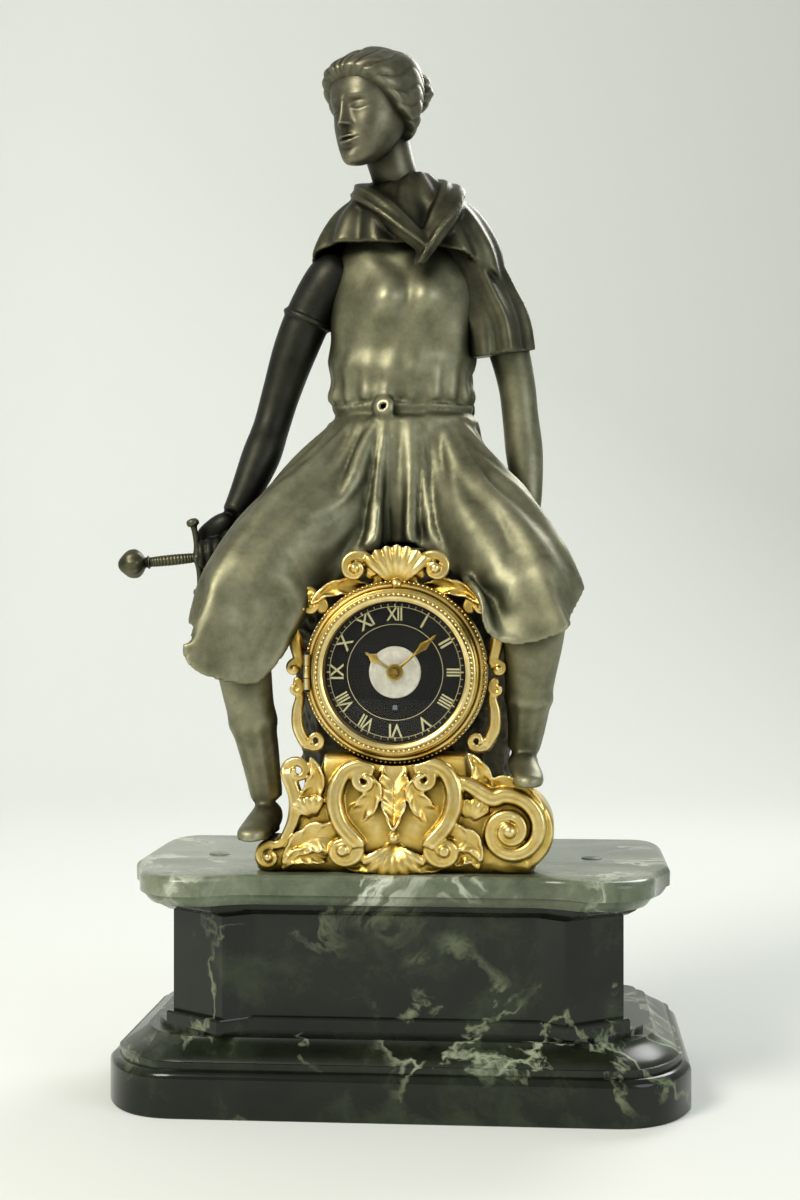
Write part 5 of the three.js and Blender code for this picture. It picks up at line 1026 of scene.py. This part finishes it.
def torso_rule(u, v):
    ring = through(torso_rings, v)
    a = u * 2 * math.pi
    x, y, z = ring[:, 3] * np.cos(a), ring[:, 4] * np.sin(a), ring[:, 2]
    front = np.clip(-np.sin(a), 0, 1)
    above_belt = z - BELT_HEIGHT
    y = y - front * (9.5 * bump(x, z, -11, 490, 13, 15) + 9.5 * bump(x, z, 17, 491, 13, 15))
    y = y + front * 2.5 * bump(x, z, 3, 489, 5, 14)
    gathers = 1.25 * np.cos(19 * a + 1.1 * np.sin(z / 16)) * hill(above_belt, 0, 26)
    gathers *= np.abs(above_belt) > 5
    slack = 1.3 * np.cos((z - 0.9 * np.abs(x - 3)) / 4.6 + 0.6 * np.sin(3 * a))
    slack *= bump(x, z, 3, 521, 34, 17) * front
    hang = 1.5 * np.cos(z / 5.4 - 1.7 * np.abs(np.cos(a)) + 0.9 * np.sin(2.5 * a)) * hill(z, 451, 15) * front
    sides = 1.7 * np.cos(z / 4.9 + 2.2 * a) * hill(z, 447, 22) * np.abs(np.cos(a)) ** 3
    pull = 1.2 * np.cos(9 * a + 0.05 * (z - 470) * np.sign(x)) * hill(z, 472, 16) * front
    blouse = 2.6 * hill(z, 431, 7) * (0.6 + 0.4 * np.cos(7 * a + 0.5))
    belt = 2.2 * (np.abs(above_belt) < 4.6) - 0.8 * (np.abs(np.abs(above_belt) - 6) < 1.2)
    out = gathers + slack + hang + sides + pull + blouse + belt
    closing = rounded_ends(v, 0.05, 0.05)
    return np.column_stack([ring[:, 0] + (x + out * np.cos(a)) * closing,
                            ring[:, 1] + (y + out * np.sin(a)) * closing, z])


def torso():
    return sheet("torso_form", torso_rule, 220, 240)


def buckle():
    """A round clasp on the belt, a little to the sword's side."""
    clasp = []
    for radius, y in ((6.2, -22.0), (3.4, -24.2)):
        nothing_selected()
        bpy.ops.mesh.primitive_torus_add(
            major_radius=radius * MM, minor_radius=1.5 * MM, major_segments=40, minor_segments=12,
            location=(-11 * MM, y * MM, (BELT_HEIGHT + 2) * MM),
            rotation=(math.radians(80), 0, math.radians(-14)))
        clasp.append(settled())
    return clasp


# %% [markdown]
# The legs stand wide over the case, one foot lower than the other. The knees are covered by the skirt, so the
# legs are made first and the skirt falls over them.

# %% Legs and boots
def boot_shape(a, v):
    """The boot's cuff stands out from the leg, and the boot below it is slightly creased."""
    return 1 + 0.1 * hill(v, 0.74, 0.018) + 0.035 * (v > 0.74) * np.cos(10 * a)


def leg(name, rows, sole, side):
    """rows run from hip to ankle. side is 1 for the right of the view, -1 for the left."""
    ax, ay = rows[-1][:2]
    return [
        limb(name, rows, across=44, lengths=110, shape=boot_shape, ends=(0.1, 0.03)),
        limb(name + "_foot", [
            [ax, ay + 13, sole + 7, 7, 7], [ax, ay + 4, sole + 10, 9, 10],
            [ax + side, ay - 12, sole + 9, 9, 8.6], [ax + side * 3, ay - 28, sole + 5.6, 9.6, 5.6],
            [ax + side * 4, ay - 40, sole + 4.2, 8.4, 4.2], [ax + side * 4.4, ay - 46, sole + 3.4, 4.6, 2.6]],
            reference=(0, 0, 1), across=32, lengths=44, ends=(0.14, 0.16)),
        limb(name + "_sole", [
            [ax, ay + 13, sole + 1.3, 7.4, 1.5], [ax, ay, sole + 1.3, 7.2, 1.5],
            [ax + side * 1.6, ay - 16, sole + 1.3, 8, 1.5], [ax + side * 3.2, ay - 32, sole + 1.3, 10, 1.5],
            [ax + side * 4.4, ay - 47, sole + 1.3, 5.4, 1.5]],
            reference=(0, 0, 1), across=24, lengths=30, ends=(0.1, 0.12))]


right_leg = leg("leg_left_of_view", [
    [-22, 10, 362, 32, 29], [-56, -22, 352, 29, 27], [-86, -55, 318, 23, 23], [-95, -62, 296, 19.5, 20],
    [-91, -56, 250, 15.5, 17], [-84, -47, 205, 11.5, 12.5], [-80.6, -43, 180, 9.4, 10.4]], 160.4, -1)
left_leg = leg("leg_right_of_view", [
    [22, 10, 362, 32, 29], [52, -20, 349, 29, 27], [76, -53, 314, 23, 23], [82, -60, 290, 19.5, 20],
    [80, -52, 258, 15.5, 17], [78, -45, 228, 11.5, 12.5], [75.6, -42, 211, 9.4, 10.4]], 193.4, 1)

# %% [markdown]
# The skirt is the one part that hangs by itself, so its folds are found by letting it fall. A ruffled ring of
# cloth starts level with the waist, pinned there, and drops over the thighs, knees and clock case. It is
# calculated at ten times the size, where the cloth solver's distances are at home. The fallen shape is then
# thickened into a casting.

# %% The skirt falls over the knees
TEN = 10.0
CLOTH_FRAMES = 60
CLOTH_GAP = 0.012
WAIST_X, WAIST_Y, WAIST_Z, WAIST_WIDE, WAIST_DEEP = -1.0, 13.0, 417.0, 42.5, 30.5
EASED_IN_FRONT, EASED_BEHIND = -80, 40

SKIRT_LENGTHS = [  # degrees round the waist from the right of the view, length
    (0, 82), (40, 80), (90, 78), (140, 82), (180, 94), (200, 124), (215, 166), (229, 206), (242, 190),
    (256, 97), (270, 80), (284, 97), (298, 172), (312, 176), (326, 132), (343, 96), (360, 82)]


def round_the_waist(a, out, z):
    return np.column_stack([WAIST_X + (WAIST_WIDE + out) * np.cos(a),
                            WAIST_Y + (WAIST_DEEP + out) * np.sin(a), z])


def skirt_length(a):
    return np.interp(np.mod(np.degrees(a), 360), *zip(*SKIRT_LENGTHS))


def skirt_rule(u, v):
    a = u * 2 * math.pi
    out = v * skirt_length(a)
    ruffle = (7 * np.sin(13 * a) + 4 * np.sin(21 * a + 1)) * v ** 0.7
    return round_the_waist(a, out, WAIST_Z - 0.1 * out + ruffle)


def obstacle(piece):
    """A copy at ten times the size that the cloth can't pass."""
    only(piece)
    bpy.ops.object.duplicate()
    copy = bpy.context.object
    set_points(copy, points_of(copy) * TEN)
    copy.modifiers.new("Collision", "COLLISION")
    copy.collision.thickness_outer = CLOTH_GAP
    copy.collision.cloth_friction = 3
    return copy


def fallen_skirt():
    helpers = [
        limb("case_block", [
            [0, -96, 262, 64, 64], [0, -60, 262, 64, 64], [0, 0, 262, 60, 60], [0, 40, 262, 60, 60]],
            reference=(0, 0, 1), lengths=12),
        limb("crest_block", [
            [-34, -62, 318, 20, 16], [0, -62, 330, 24, 16], [34, -62, 318, 20, 16]], lengths=12),
        limb("seat_block", [[0, 4, 300, 86, 42], [0, 4, 318, 90, 43], [0, 4, 334, 91, 44]], lengths=10),
        torso()]
    blocks = [obstacle(p) for p in helpers + [right_leg[0], left_leg[0]]]
    cloth = sheet("skirt", skirt_rule, 150, 56)
    co = points_of(cloth)
    from_waist = ((co[:, 0] - WAIST_X) / WAIST_WIDE) ** 2 + ((co[:, 1] - WAIST_Y) / WAIST_DEEP) ** 2
    held = np.where(from_waist < 1.02)[0]
    set_points(cloth, co * TEN)
    cloth.vertex_groups.new(name="waist").add([int(i) for i in held], 1.0, "REPLACE")
    modifier = cloth.modifiers.new("Cloth", "CLOTH")
    settings = modifier.settings
    settings.vertex_group_mass = "waist"
    settings.quality, settings.mass, settings.air_damping = 7, 0.2, 1.5
    settings.tension_stiffness, settings.compression_stiffness = 14, 8
    settings.shear_stiffness, settings.bending_stiffness = 3, 0.03
    modifier.collision_settings.distance_min = CLOTH_GAP
    modifier.collision_settings.collision_quality = 3
    modifier.point_cache.frame_end = CLOTH_FRAMES
    for number in range(1, CLOTH_FRAMES + 1):
        scene.frame_set(number)
    only(cloth)
    bpy.ops.object.modifier_apply(modifier="Cloth")
    scene.frame_set(1)
    set_points(cloth, points_of(cloth) / TEN)
    removed(*blocks, *helpers)
    co = points_of(cloth)
    y = co[:, 1]
    y = np.where(y > EASED_BEHIND, EASED_BEHIND + (y - EASED_BEHIND) * 0.5, y)
    co[:, 1] = np.where(y < EASED_IN_FRONT, EASED_IN_FRONT + (y - EASED_IN_FRONT) * 0.5, y)
    set_points(cloth, co)
    return cloth


skirt = fallen_skirt()
apply_modifier(skirt, "SUBSURF", levels=1, render_levels=1)

# %% [markdown]
# The modeller of the wax then cuts the folds deeper than cloth alone would fall. They run out from the waist,
# fade in below it, and sink between narrow crests.

# %% Folds worked into the wax
MAIN_FOLD_DEPTH, SMALL_FOLD_DEPTH = 4.2, 1.5

co, outward = points_of(skirt), normals_of(skirt)
if np.sum(outward[:, 2]) < 0:
    outward = -outward
round_waist = np.arctan2(co[:, 1] - WAIST_Y, co[:, 0] - WAIST_X)
fallen = np.hypot((co[:, 0] - WAIST_X) / 1.2, co[:, 1] - WAIST_Y) - 33 + (WAIST_Z - co[:, 2])
main_folds = np.abs(np.sin(8.5 * round_waist + 0.9 * np.sin(3 * round_waist) + fallen / 90)) ** 0.8
small_folds = np.sin(33 * round_waist + 2.0 * np.sin(2 * round_waist) - fallen / 55)
share = np.clip(fallen / 50, 0, 1) * (0.75 + 0.25 * np.sin(2.3 * round_waist + fallen / 40))
co += outward * (share * (MAIN_FOLD_DEPTH * (main_folds - 0.75) + SMALL_FOLD_DEPTH * small_folds))[:, None]
set_points(skirt, co)
thickened(skirt, 3.0, 1.0)
print("The skirt has", len(skirt.data.vertices), "points")

# %% Body casting
figure = melted("figure_cast", 1.7, 2, torso(), skirt, *buckle(), *right_leg, *left_leg)
dress(figure, green_bronze, "patinated_bronze", "figure_body")
print("The body casting has", len(figure.data.polygons), "faces")

# %% [markdown]
# The sword hand closes round the hilt, and the other hand lies flat on the seat. Each finger is a short limb.
# A curled finger follows an arc round the hilt's own axis.

# %% Arms and hands
hilt_middle = np.array([-37.0, -7.8, -1.4]) * UNIT + [0, 0, SEAT]
hilt_axis = np.array([math.cos(0.1) * math.cos(0.14), math.cos(0.1) * math.sin(0.14), math.sin(0.1)])
hilt_up = np.array([0, 0, 1.0]) - hilt_axis * hilt_axis[2]
hilt_up /= np.linalg.norm(hilt_up)
hilt_front = np.cross(hilt_up, hilt_axis)
if hilt_front[1] > 0:
    hilt_front = -hilt_front


def round_hilt(along_axis, radius, degrees):
    """A point beside the hilt. 0 degrees is above it, and 90 in front."""
    a = math.radians(degrees)
    return hilt_middle + hilt_axis * along_axis + (hilt_up * math.cos(a) + hilt_front * math.sin(a)) * radius


def curled_finger(index):
    offset = 7.6 - index * 5.2
    thick = (2.7, 2.9, 2.8, 2.4)[index]
    arc = ((-70, 8.5, 1.15), (-25, 9.0, 1.1), (20, 8.0, 1.08), (60, 7.0, 1.0), (105, 6.4, 1.0),
           (150, 6.0, 0.95), (190, 5.8, 0.85))
    rows = [[*round_hilt(offset, radius, degrees), thick * size, thick * size]
            for degrees, radius, size in arc]
    return limb(f"finger_{index}", rows, reference=hilt_axis, across=16, lengths=34, ends=(0.08, 0.1))


right_arm_path = on_body([
    [-11.6, 2.4, 58, 4.2, 4.4], [-14.8, 2.4, 54.8, 5.2, 5.5], [-19, 3, 48.6, 4.8, 5.2],
    [-22.4, 3.5, 41, 4.5, 4.9], [-25.4, 3.6, 32, 3.9, 4.2], [-27.4, 3.2, 25, 3.7, 4.1],
    [-29.2, 0.6, 18.6, 3.9, 4.2], [-31.8, -3.2, 11, 3.1, 3.3], [-33.8, -5.4, 6.6, 2.4, 2.9]])
palm = limb("palm_of_sword_hand", [
    [*right_arm_path[-1][:3], 7.2, 8.6], [*round_hilt(-1, 17, -42), 9.4, 7.2],
    [*round_hilt(-0.5, 11.5, -52), 11.2, 5.6], [*round_hilt(0, 8.2, -80), 11.0, 4.2]],
    across=28, lengths=36, ends=(0.2, 0.2))
thumb = limb("thumb_of_sword_hand", [
    [*round_hilt(9, 13, -30), 3.6, 3.6], [*round_hilt(11, 10.5, 15), 3.3, 3.3],
    [*round_hilt(8, 9.6, 50), 2.9, 2.9], [*round_hilt(2.5, 9.4, 72), 2.4, 2.4]],
    reference=hilt_up, across=16, lengths=26, ends=(0.12, 0.16))
armlet = limb("armlet", on_body([[-19.5, 3.1, 47.6, 5.3, 5.7], [-20.2, 3.2, 46, 5.3, 5.7]]),
              across=40, lengths=12, ends=(0.35, 0.35))
right_arm_form = limb("right_arm_form", right_arm_path, lengths=90, ends=(0.08, 0.03))
right_arm = melted("right_arm_cast", 0.95, 3, right_arm_form, palm, thumb, armlet,
                   *[curled_finger(i) for i in range(4)])
# The sword arm wears the darker copy of the bronze, as painted shade.
dress(right_arm, shaded_arm_bronze, "dark_bronze", "right_arm")

left_arm_path = on_body([
    [11.8, 2.8, 58, 4.2, 4.4], [15, 3, 54, 5, 5.4], [18.2, 4.4, 48, 4.8, 5.1], [20.6, 5.8, 41.5, 4.2, 4.6],
    [22.4, 7.4, 34, 3.8, 4.1], [23.2, 8.2, 27.4, 3.7, 4.0], [24, 8.4, 20, 3.8, 4.1],
    [24.6, 7.6, 12, 3.1, 3.2], [24.7, 6.9, 7.4, 2.5, 2.5]])
seat_skin = SEAT + 1.2
flat_hand = [limb("palm_of_flat_hand", [
    [77.8, 22, 358, 7.6, 7.4], [78, 18, 348, 9, 6.6], [79, 10, 341.5, 11, 5], [80, 0, 339.6, 11.4, 4.0]],
    reference=(0, 0, 1), across=28, lengths=30, ends=(0.2, 0.2))]
for index, (x, reach, size) in enumerate([(71.4, 18, 2.7), (77.2, 22, 2.9), (83, 20, 2.8), (88.2, 15, 2.3)]):
    flat_hand.append(limb(f"flat_finger_{index}", [
        [x * 0.6 + 32, 4, 340, size * 1.1, size * 1.1], [x, -4, 340.6, size * 1.1, size * 1.1],
        [x + 0.8, -4 - reach * 0.55, seat_skin + 2.8, size, size * 0.95],
        [x + 1.2, -4 - reach, seat_skin + 1.4, size * 0.8, size * 0.7]],
        reference=(0, 0, 1), across=16, lengths=26))
flat_hand.append(limb("flat_thumb", [
    [70, 14, 344, 4, 4], [65.5, 5, 340.5, 3.4, 3.2], [62.4, -5, seat_skin + 2, 2.7, 2.2]],
    reference=(0, 0, 1), across=16, lengths=24))
left_arm_form = limb("left_arm_form", left_arm_path, lengths=90, ends=(0.08, 0.03))
left_arm = melted("left_arm_cast", 0.95, 3, left_arm_form, *flat_hand)
dress(left_arm, green_bronze, "patinated_bronze", "left_arm")

# %% [markdown]
# The hilt is turned and filed: a ribbed grip, a cross guard with knobbed ends and a faceted pommel.

# %% Sword hilt
def on_hilt(rows):
    """Rows of distance along the hilt and radius, as a limb's path."""
    return [[*(hilt_middle + hilt_axis * s), r, r] for s, r in rows]


grip = limb("grip", on_hilt([[-44, 2.6], [-40, 3.0], [-34, 3.3], [-26, 3.4], [-18, 3.2], [-12, 2.9],
                             [-6, 2.9], [8, 2.8], [10.5, 2.7]]), across=24, lengths=120,
            shape=lambda a, v: 1 + 0.05 * np.cos(v * 190) * (v < 0.62), ends=(0.02, 0.02))
pommel = limb("pommel", on_hilt([[-60.2, 1.2], [-58.6, 4.0], [-54, 8.0], [-49, 8.6], [-45.6, 6.6], [-43, 3.2],
                                 [-41, 4.2], [-40, 2.6]]), across=32, lengths=60,
              shape=lambda a, v: 1 + 0.05 * np.cos(8 * a) * hill(v, 0.45, 0.2), ends=(0.04, 0.04))
half_guard = [(0, 4.6), (4, 3.0), (10, 2.1), (18.6, 2.0), (20.6, 3.8), (23.4, 3.6), (24.6, 1.0)]
guard_middle = hilt_middle + hilt_axis * -9.9
guard = limb("guard", [[*(guard_middle + hilt_up * s + hilt_axis * (-0.0035 * s * s)), r, r] for s, r in
                       [(-s, r) for s, r in half_guard[:0:-1]] + half_guard],
             across=24, lengths=110, ends=(0.02, 0.02))
hilt = smooth(joined("hilt_dressed", grip, pommel, guard), 50)
dress(hilt, brown_bronze, "dark_bronze", "sword_hilt")
print("Arms:", len(right_arm.data.polygons), len(left_arm.data.polygons), "faces")

# %% [markdown]
# The cloak lies round the neck as a roll of cloth, covers the shoulder and upper arm on the right of the
# view, and hangs down the back to the seat. Its folds run the way that the cloth hangs.

# %% Cloak
def cloth_folds(count, depth, twist):
    return lambda a, v: 1 + depth * np.cos(count * a + twist * v) + 0.4 * depth * np.cos(
        (2 * count - 1) * a - twist * v + 1.3)


def yoke_rule(u, v):
    """Cloth from the neck out over both shoulders, shorter in front, where it opens."""
    a = u * 2 * math.pi
    front, sword_side = np.clip(-np.sin(a), 0, 1), np.clip(-np.cos(a), 0, 1)
    reach = v * (1 - 0.42 * front ** 0.7 - 0.2 * sword_side ** 2)
    rows = [[15, 15, 572], [29, 24, 560], [45, 31, 547], [57, 35, 527], [61, 37, 507], [62.5, 38, 488]]
    wide, deep, z = through(rows, reach).T
    pleat = (0.4 + 2.4 * v) * np.cos(13 * a + 1.2 * np.sin(4 * v)) * (0.4 + 0.6 * np.abs(np.sin(a)))
    return np.column_stack([1 + (wide + pleat) * np.cos(a), 8 + (deep + pleat) * np.sin(a),
                            z - 5 * front * v])


def fall_rule(u, v):
    """The length of cloth down the back, wrapped a little round the sides."""
    top, low = 552.0, 343.0
    s = (u - 0.5) * 2
    z = top - (top - low) * v
    half = np.interp(z, [343, 360, 400, 460, 510, 552], [60, 50, 40, 39, 40, 37])
    folds = (1.2 + 3.0 * v) * np.cos(9 * s * (1 - 0.12 * v) + 0.8 * np.sin(3 * v)) + np.cos(17 * s + 2 * v)
    wrap = 15 * np.clip(np.abs(s) - 0.55, 0, 1) ** 1.4 * 2
    y = 34 + 17 * np.sin(v * 1.4) - wrap + folds
    return np.column_stack([1.5 + half * s + 1.5 * np.cos(11 * v) * s, np.minimum(y, 56), z])


roll = limb("cloak_roll", [
    [20, -31, 516, 8, 4], [5, -31, 530, 9, 6], [-10, -25, 545, 9, 7], [-22, -12, 556, 9, 7],
    [-24, 6, 562, 9, 7], [-16, 22, 565, 9, 8], [0, 27, 567, 10, 8], [17, 22, 565, 10, 8], [26, 7, 561, 11, 8],
    [28, -10, 553, 11, 8], [24, -24, 538, 11, 7], [17, -31, 522, 9, 5], [11, -34, 508, 6, 3]],
    reference=(0, 0, 1), across=44, lengths=170, shape=cloth_folds(5, 0.13, 5.0), ends=(0.03, 0.03))
yoke = thickened(sheet("cloak_yoke", yoke_rule, 180, 60), 3.6)
sleeve = limb("cloak_sleeve", on_body([
    [6, 3.4, 65, 5.5, 6], [9.6, 3.4, 61, 6.2, 7.2], [13, 4, 55.4, 6.8, 7.9], [15.4, 4.6, 50, 7.1, 8.1],
    [17.6, 5.2, 44.8, 7.4, 8.3], [18.4, 5.8, 39.4, 7.6, 8.6]]),
    across=96, lengths=90, shape=cloth_folds(7, 0.07, 2.0), ends=(0.1, 0.012))
fall = thickened(sheet("cloak_fall", fall_rule, 150, 90), 4.0)
cloak = melted("cloak_cast", 1.4, 2, roll, yoke, sleeve, fall)
dress(cloak, brown_bronze, "dark_bronze", "cloak")
print("The cloak has", len(cloak.data.polygons), "faces")

# %% [markdown]
# The head follows a drawing book's proportions: the eyes lie half way up the head, the nose ends half way
# from the brow to the chin, and the mouth is a third of the way below it. The face is calm, with lowered
# lids. Each feature is a soft hill or hollow on the front of a smooth skull, and then the head is turned and
# bowed as the sculptor set it.

# %% Head
skull = np.array([  # height, half width, front, back
    [-0.4, 0.2, 17, -16.6], [0.6, 6.0, 23.2, -10], [3, 10.4, 25.4, -2], [8, 14.8, 25.6, 6],
    [15, 18.6, 25.2, 13], [22, 21.0, 24.6, 19], [30, 22.4, 24.4, 24], [38, 23.2, 25.4, 27.5],
    [46, 23.6, 25.6, 29.5], [54, 22.8, 23.4, 29], [61, 19.6, 18.6, 26], [66, 14.0, 12.2, 19.5],
    [69, 7.4, 5.6, 11], [69.8, 0.2, -2, 2.4]])


def features(x, z):
    """How far the face stands out, in millimetres, at x from the middle and z above the chin."""
    ax = np.abs(x)
    fall = np.clip((39 - z) / 13.5, 0, 1)
    nose = (1.5 + 5.4 * fall) * hill(x, 0, 2.1 + 1.7 * fall) * np.where(z > 39, hill(z, 39, 3), 1)
    nose *= np.where(z < 25.5, hill(z, 25.5, 1.9), 1)
    nostrils = 1.7 * bump(ax, z, 4.0, 24.6, 1.8, 1.8)
    brows = 1.2 * bump(ax, z, 10, 41.2, 7.5, 2.4)
    sockets = 3.3 * bump(ax, z, 9.6, 35.6, 6.4, 4.4)
    eyes = 2.7 * bump(ax, z, 9.9, 35.0, 4.9, 3.7)
    creases = 0.6 * hill(z, 38.0 - 0.035 * (ax - 10) ** 2, 0.75) * hill(ax, 10, 5.2)
    lids = 0.7 * hill(z, 33.0 + 0.035 * (ax - 10) ** 2, 0.6) * hill(ax, 10, 4.6)
    mouth = 1.5 * bump(x, z, 0, 17.5, 8.5, 6) - 0.5 * bump(x, z, 0, 20.6, 1.1, 1.8)
    upper_lip = 1.4 * hill(z, 17.7 - 0.012 * x ** 2, 1.2) * np.exp(-(x / 6.4) ** 4)
    parting = 1.3 * hill(z, 16.0 + 0.006 * x ** 2, 0.55) * np.exp(-(x / 7.2) ** 4)
    lower_lip = 1.7 * hill(z, 14.1 + 0.014 * x ** 2, 1.4) * np.exp(-(x / 5.2) ** 4)
    chin = 1.5 * bump(x, z, 0, 5.0, 5.5, 4) - 0.9 * bump(x, z, 0, 10.6, 5.5, 1.6)
    cheeks = 0.9 * bump(ax, z, 13.5, 25, 6, 6.5)
    lips = mouth + upper_lip - parting + lower_lip
    return nose + nostrils + brows - sockets + eyes - creases - lids + lips + chin + cheeks


def skull_rule(u, v):
    height, half, front, back = through(skull, v).T
    a = u * 2 * math.pi
    squarer = (np.abs(np.cos(a)) ** 2.3 + np.abs(np.sin(a)) ** 2.3) ** (-1 / 2.3)
    x = half * np.cos(a) * squarer
    y = (back - front) / 2 + (front + back) / 2 * np.sin(a) * squarer
    return np.column_stack([x, y, height])


def face_rule(u, v):
    co = skull_rule(u, v)
    facing = np.clip((-co[:, 1] - 4) / 10, 0, 1)
    co[:, 1] -= features(co[:, 0], co[:, 2]) * facing * facing * (3 - 2 * facing)
    return co


SKULL_MIDDLE, BUN_AT = np.array([0.0, 2.0, 36.0]), np.array([0.0, 0.995, 0.1])


def hair_rule(u, v):
    """The skull again, standing out where hair grows, with locks drawn back to the bun."""
    co = skull_rule(u, v)
    q = unit(co - SKULL_MIDDLE)
    from_front = np.degrees(np.arctan2(np.abs(co[:, 0]), -(co[:, 1] - 2)))
    hairline = np.interp(from_front, [0, 25, 45, 62, 80, 100, 125, 150, 180],
                         [54.5, 53, 48, 40, 30, 24, 17, 12, 11])
    grown = 0.5 + 0.5 * np.sin(np.clip((co[:, 2] - hairline) / 3.2, -1, 1) * math.pi / 2)
    theta = np.arccos(np.clip(q @ BUN_AT, -1, 1))
    psi = np.arctan2(np.abs(q[:, 0]) + 0.02, q[:, 2])
    locks = np.abs(np.cos(10.5 * psi + 0.9 * np.sin(5 * theta + 2 * psi))) ** 0.6
    waves = 0.5 + 0.5 * np.cos(9 * theta + 1.5 * psi)
    parting = hill(co[:, 0], 0, 1.3) * (co[:, 1] < 12) * (co[:, 2] > 40)
    top = np.clip((co[:, 2] - 56) / 10, 0, 1)
    out = grown * (6.0 - 3.0 * top + 1.3 * locks + 1.2 * waves * (1 - top) - 1.5 * parting) - 1.6
    return co + q * out[:, None]


def bun_shape(a, v):
    return 1 + 0.08 * np.cos(6 * a + 9 * v) + 0.03 * np.cos(17 * a + 14 * v)


def rotated(first, second, angle):
    c, s = math.cos(angle), math.sin(angle)
    return first * c - second * s, first * s + second * c


BOW, TURN = 0.05 * math.pi, -0.22 * math.pi

face = sheet("face_form", face_rule, 250, 210)
hair = sheet("hair_form", hair_rule, 200, 160)
bun = limb("bun_form", [
    [0, 25, 47, 10, 10], [0, 33, 46.5, 14, 13], [0, 41.5, 43.5, 14, 13], [0, 49, 40, 9, 9]],
    reference=(0, 0, 1), across=60, lengths=60, shape=bun_shape, ends=(0.25, 0.4))
head_form = joined("head_form", face, hair, bun)
x, y, z = points_of(head_form).T
y, z = rotated(y, z, BOW)
x, y = rotated(x, y, TURN)
set_points(head_form, np.column_stack([x, y, z]) + on_body([[-4.8, -3.4, 76.4]])[0])
neck = limb("neck_form", on_body([
    [0, 2.2, 64, 6.4, 6.2], [0, 2.2, 68.4, 5.5, 5.6], [-0.8, 1.4, 72, 4.7, 4.9], [-2.2, 0.2, 76, 4.6, 4.8],
    [-3.4, -0.4, 80.5, 4.7, 5], [-4.2, 0.6, 85, 4.2, 4.4]]), across=48, lengths=50)
head = smooth(joined("head_dressed", head_form, neck))
dress(head, face_bronze, "patinated_bronze", "figure_head")
print("Head top at", round(float(points_of(head)[:, 2].max()), 1), "mm")

# %% [markdown]
# ## Tie rods and drum
# The tie rods that clamp the slabs come up through the top slab. Their low round heads are stopped over with
# wax that is coloured to the stone, so that from the front they are all but lost in it.

# %% Tie rods with stopped heads
ROD_RADIUS, HEAD_RADIUS, HEAD_DEPTH = 3, 6.5, 2.5


def tie_rod(node_name):
    """A rod with a low domed head, as a profile carried round the rod's axis."""
    low, high = (Vector(corner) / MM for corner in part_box(node_name))
    x, y, shoulder = (low.x + high.x) / 2, (low.y + high.y) / 2, high.z - HEAD_DEPTH
    profile = [[0, low.z], [ROD_RADIUS - 0.4, low.z], [ROD_RADIUS, low.z + 0.4], [ROD_RADIUS, shoulder],
               [HEAD_RADIUS - 0.1, shoulder], [HEAD_RADIUS, shoulder + 0.2]]
    profile += [[HEAD_RADIUS * math.cos(a), shoulder + 0.2 + math.sin(a)]
                for a in np.linspace(0.2, math.pi / 2, 6)]

    def rule(u, v):
        radius, z = straight(profile, v)
        a = u * 2 * math.pi
        return np.column_stack([x + radius * np.cos(a), y + radius * np.sin(a), z])

    rod = smooth(sheet(node_name + "_dressed", rule, 40, len(profile) - 1), 35)
    return dress(rod, stone_filler, "pale_marble", node_name)


rods = [tie_rod("tie_rod_left"), tie_rod("tie_rod_right")]
print("Tie rods:", [len(rod.data.vertices) for rod in rods], "points")

# %% [markdown]
# The drum behind the dial shows from the side. It is spun from sheet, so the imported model's few flat faces
# give way to a round tube of the same size, with the same opening below for the pendulum.

# %% Round drum
DRUM_INNER, DRUM_OUTER, DRUM_FRONT, DRUM_BACK = 47.5, 50, -69, 47
OPENING_SIZE, OPENING_BELOW_AXIS = 18, 47

drum = turned("drum_dressed", [
    [DRUM_INNER, DRUM_FRONT], [DRUM_OUTER, DRUM_FRONT], [DRUM_OUTER, -10], [DRUM_OUTER, DRUM_BACK],
    [DRUM_INNER, DRUM_BACK], [DRUM_INNER, -10], [DRUM_INNER, DRUM_FRONT]], 160)
nothing_selected()
bpy.ops.mesh.primitive_cube_add(size=OPENING_SIZE * MM, location=(0, 0, (AXIS - OPENING_BELOW_AXIS) * MM))
opening = settled()
apply_modifier(drum, "BOOLEAN", object=opening, operation="DIFFERENCE", solver="EXACT")
removed(opening)
dress(smooth(drum, 35), case_brass, "brass", "case_drum")
print("The drum has", len(drum.data.polygons), "faces")

# %% [markdown]
# ## The works
# Behind the dial everything keeps the model's own shape, because a lathe, a saw and a file leave it as plain
# as it is. What changes is the finish. Wheels and plates are polished brass with a fine straight or round
# grain, steel parts are polished, the click and hinge pins are heated until they turn blue, and the seat bolt
# and nuts are left dark.

# %% Each remaining node gets its finish
works = {
    case_brass: ["front_ring", "rear_ring", "strap_left", "strap_right", "rear_door"],
    polished_brass: ["front_plate", "back_plate", "pillar_1", "pillar_2", "pillar_3", "pillar_4",
                     "suspension_cock", "crutch", "hand_nut", "rating_nut"],
    barrel_brass: ["going_barrel", "barrel_cover", "pendulum_bob"],
    wheel_brass: ["centre_wheel", "third_wheel", "escape_wheel", "minute_wheel", "hour_wheel"],
    blued_steel: ["barrel_arbor", "cannon_pinion", "anchor", "pendulum_rod", "ratchet_wheel"],
    spring_steel: ["mainspring", "suspension_spring"],
    heated_steel: ["click", "door_hinge_pin", "bezel_hinge_pin"],
    dark_iron: ["seat_bolt", "tie_nut_left", "tie_nut_right"],
}
for material, names in works.items():
    for name in names:
        piece = nodes[name]
        if not piece.material_slots:
            piece.data.materials.append(material)
        for slot in piece.material_slots:
            slot.material = material
print("Nodes that keep their shape and get a finish:", sum(map(len, works.values())))
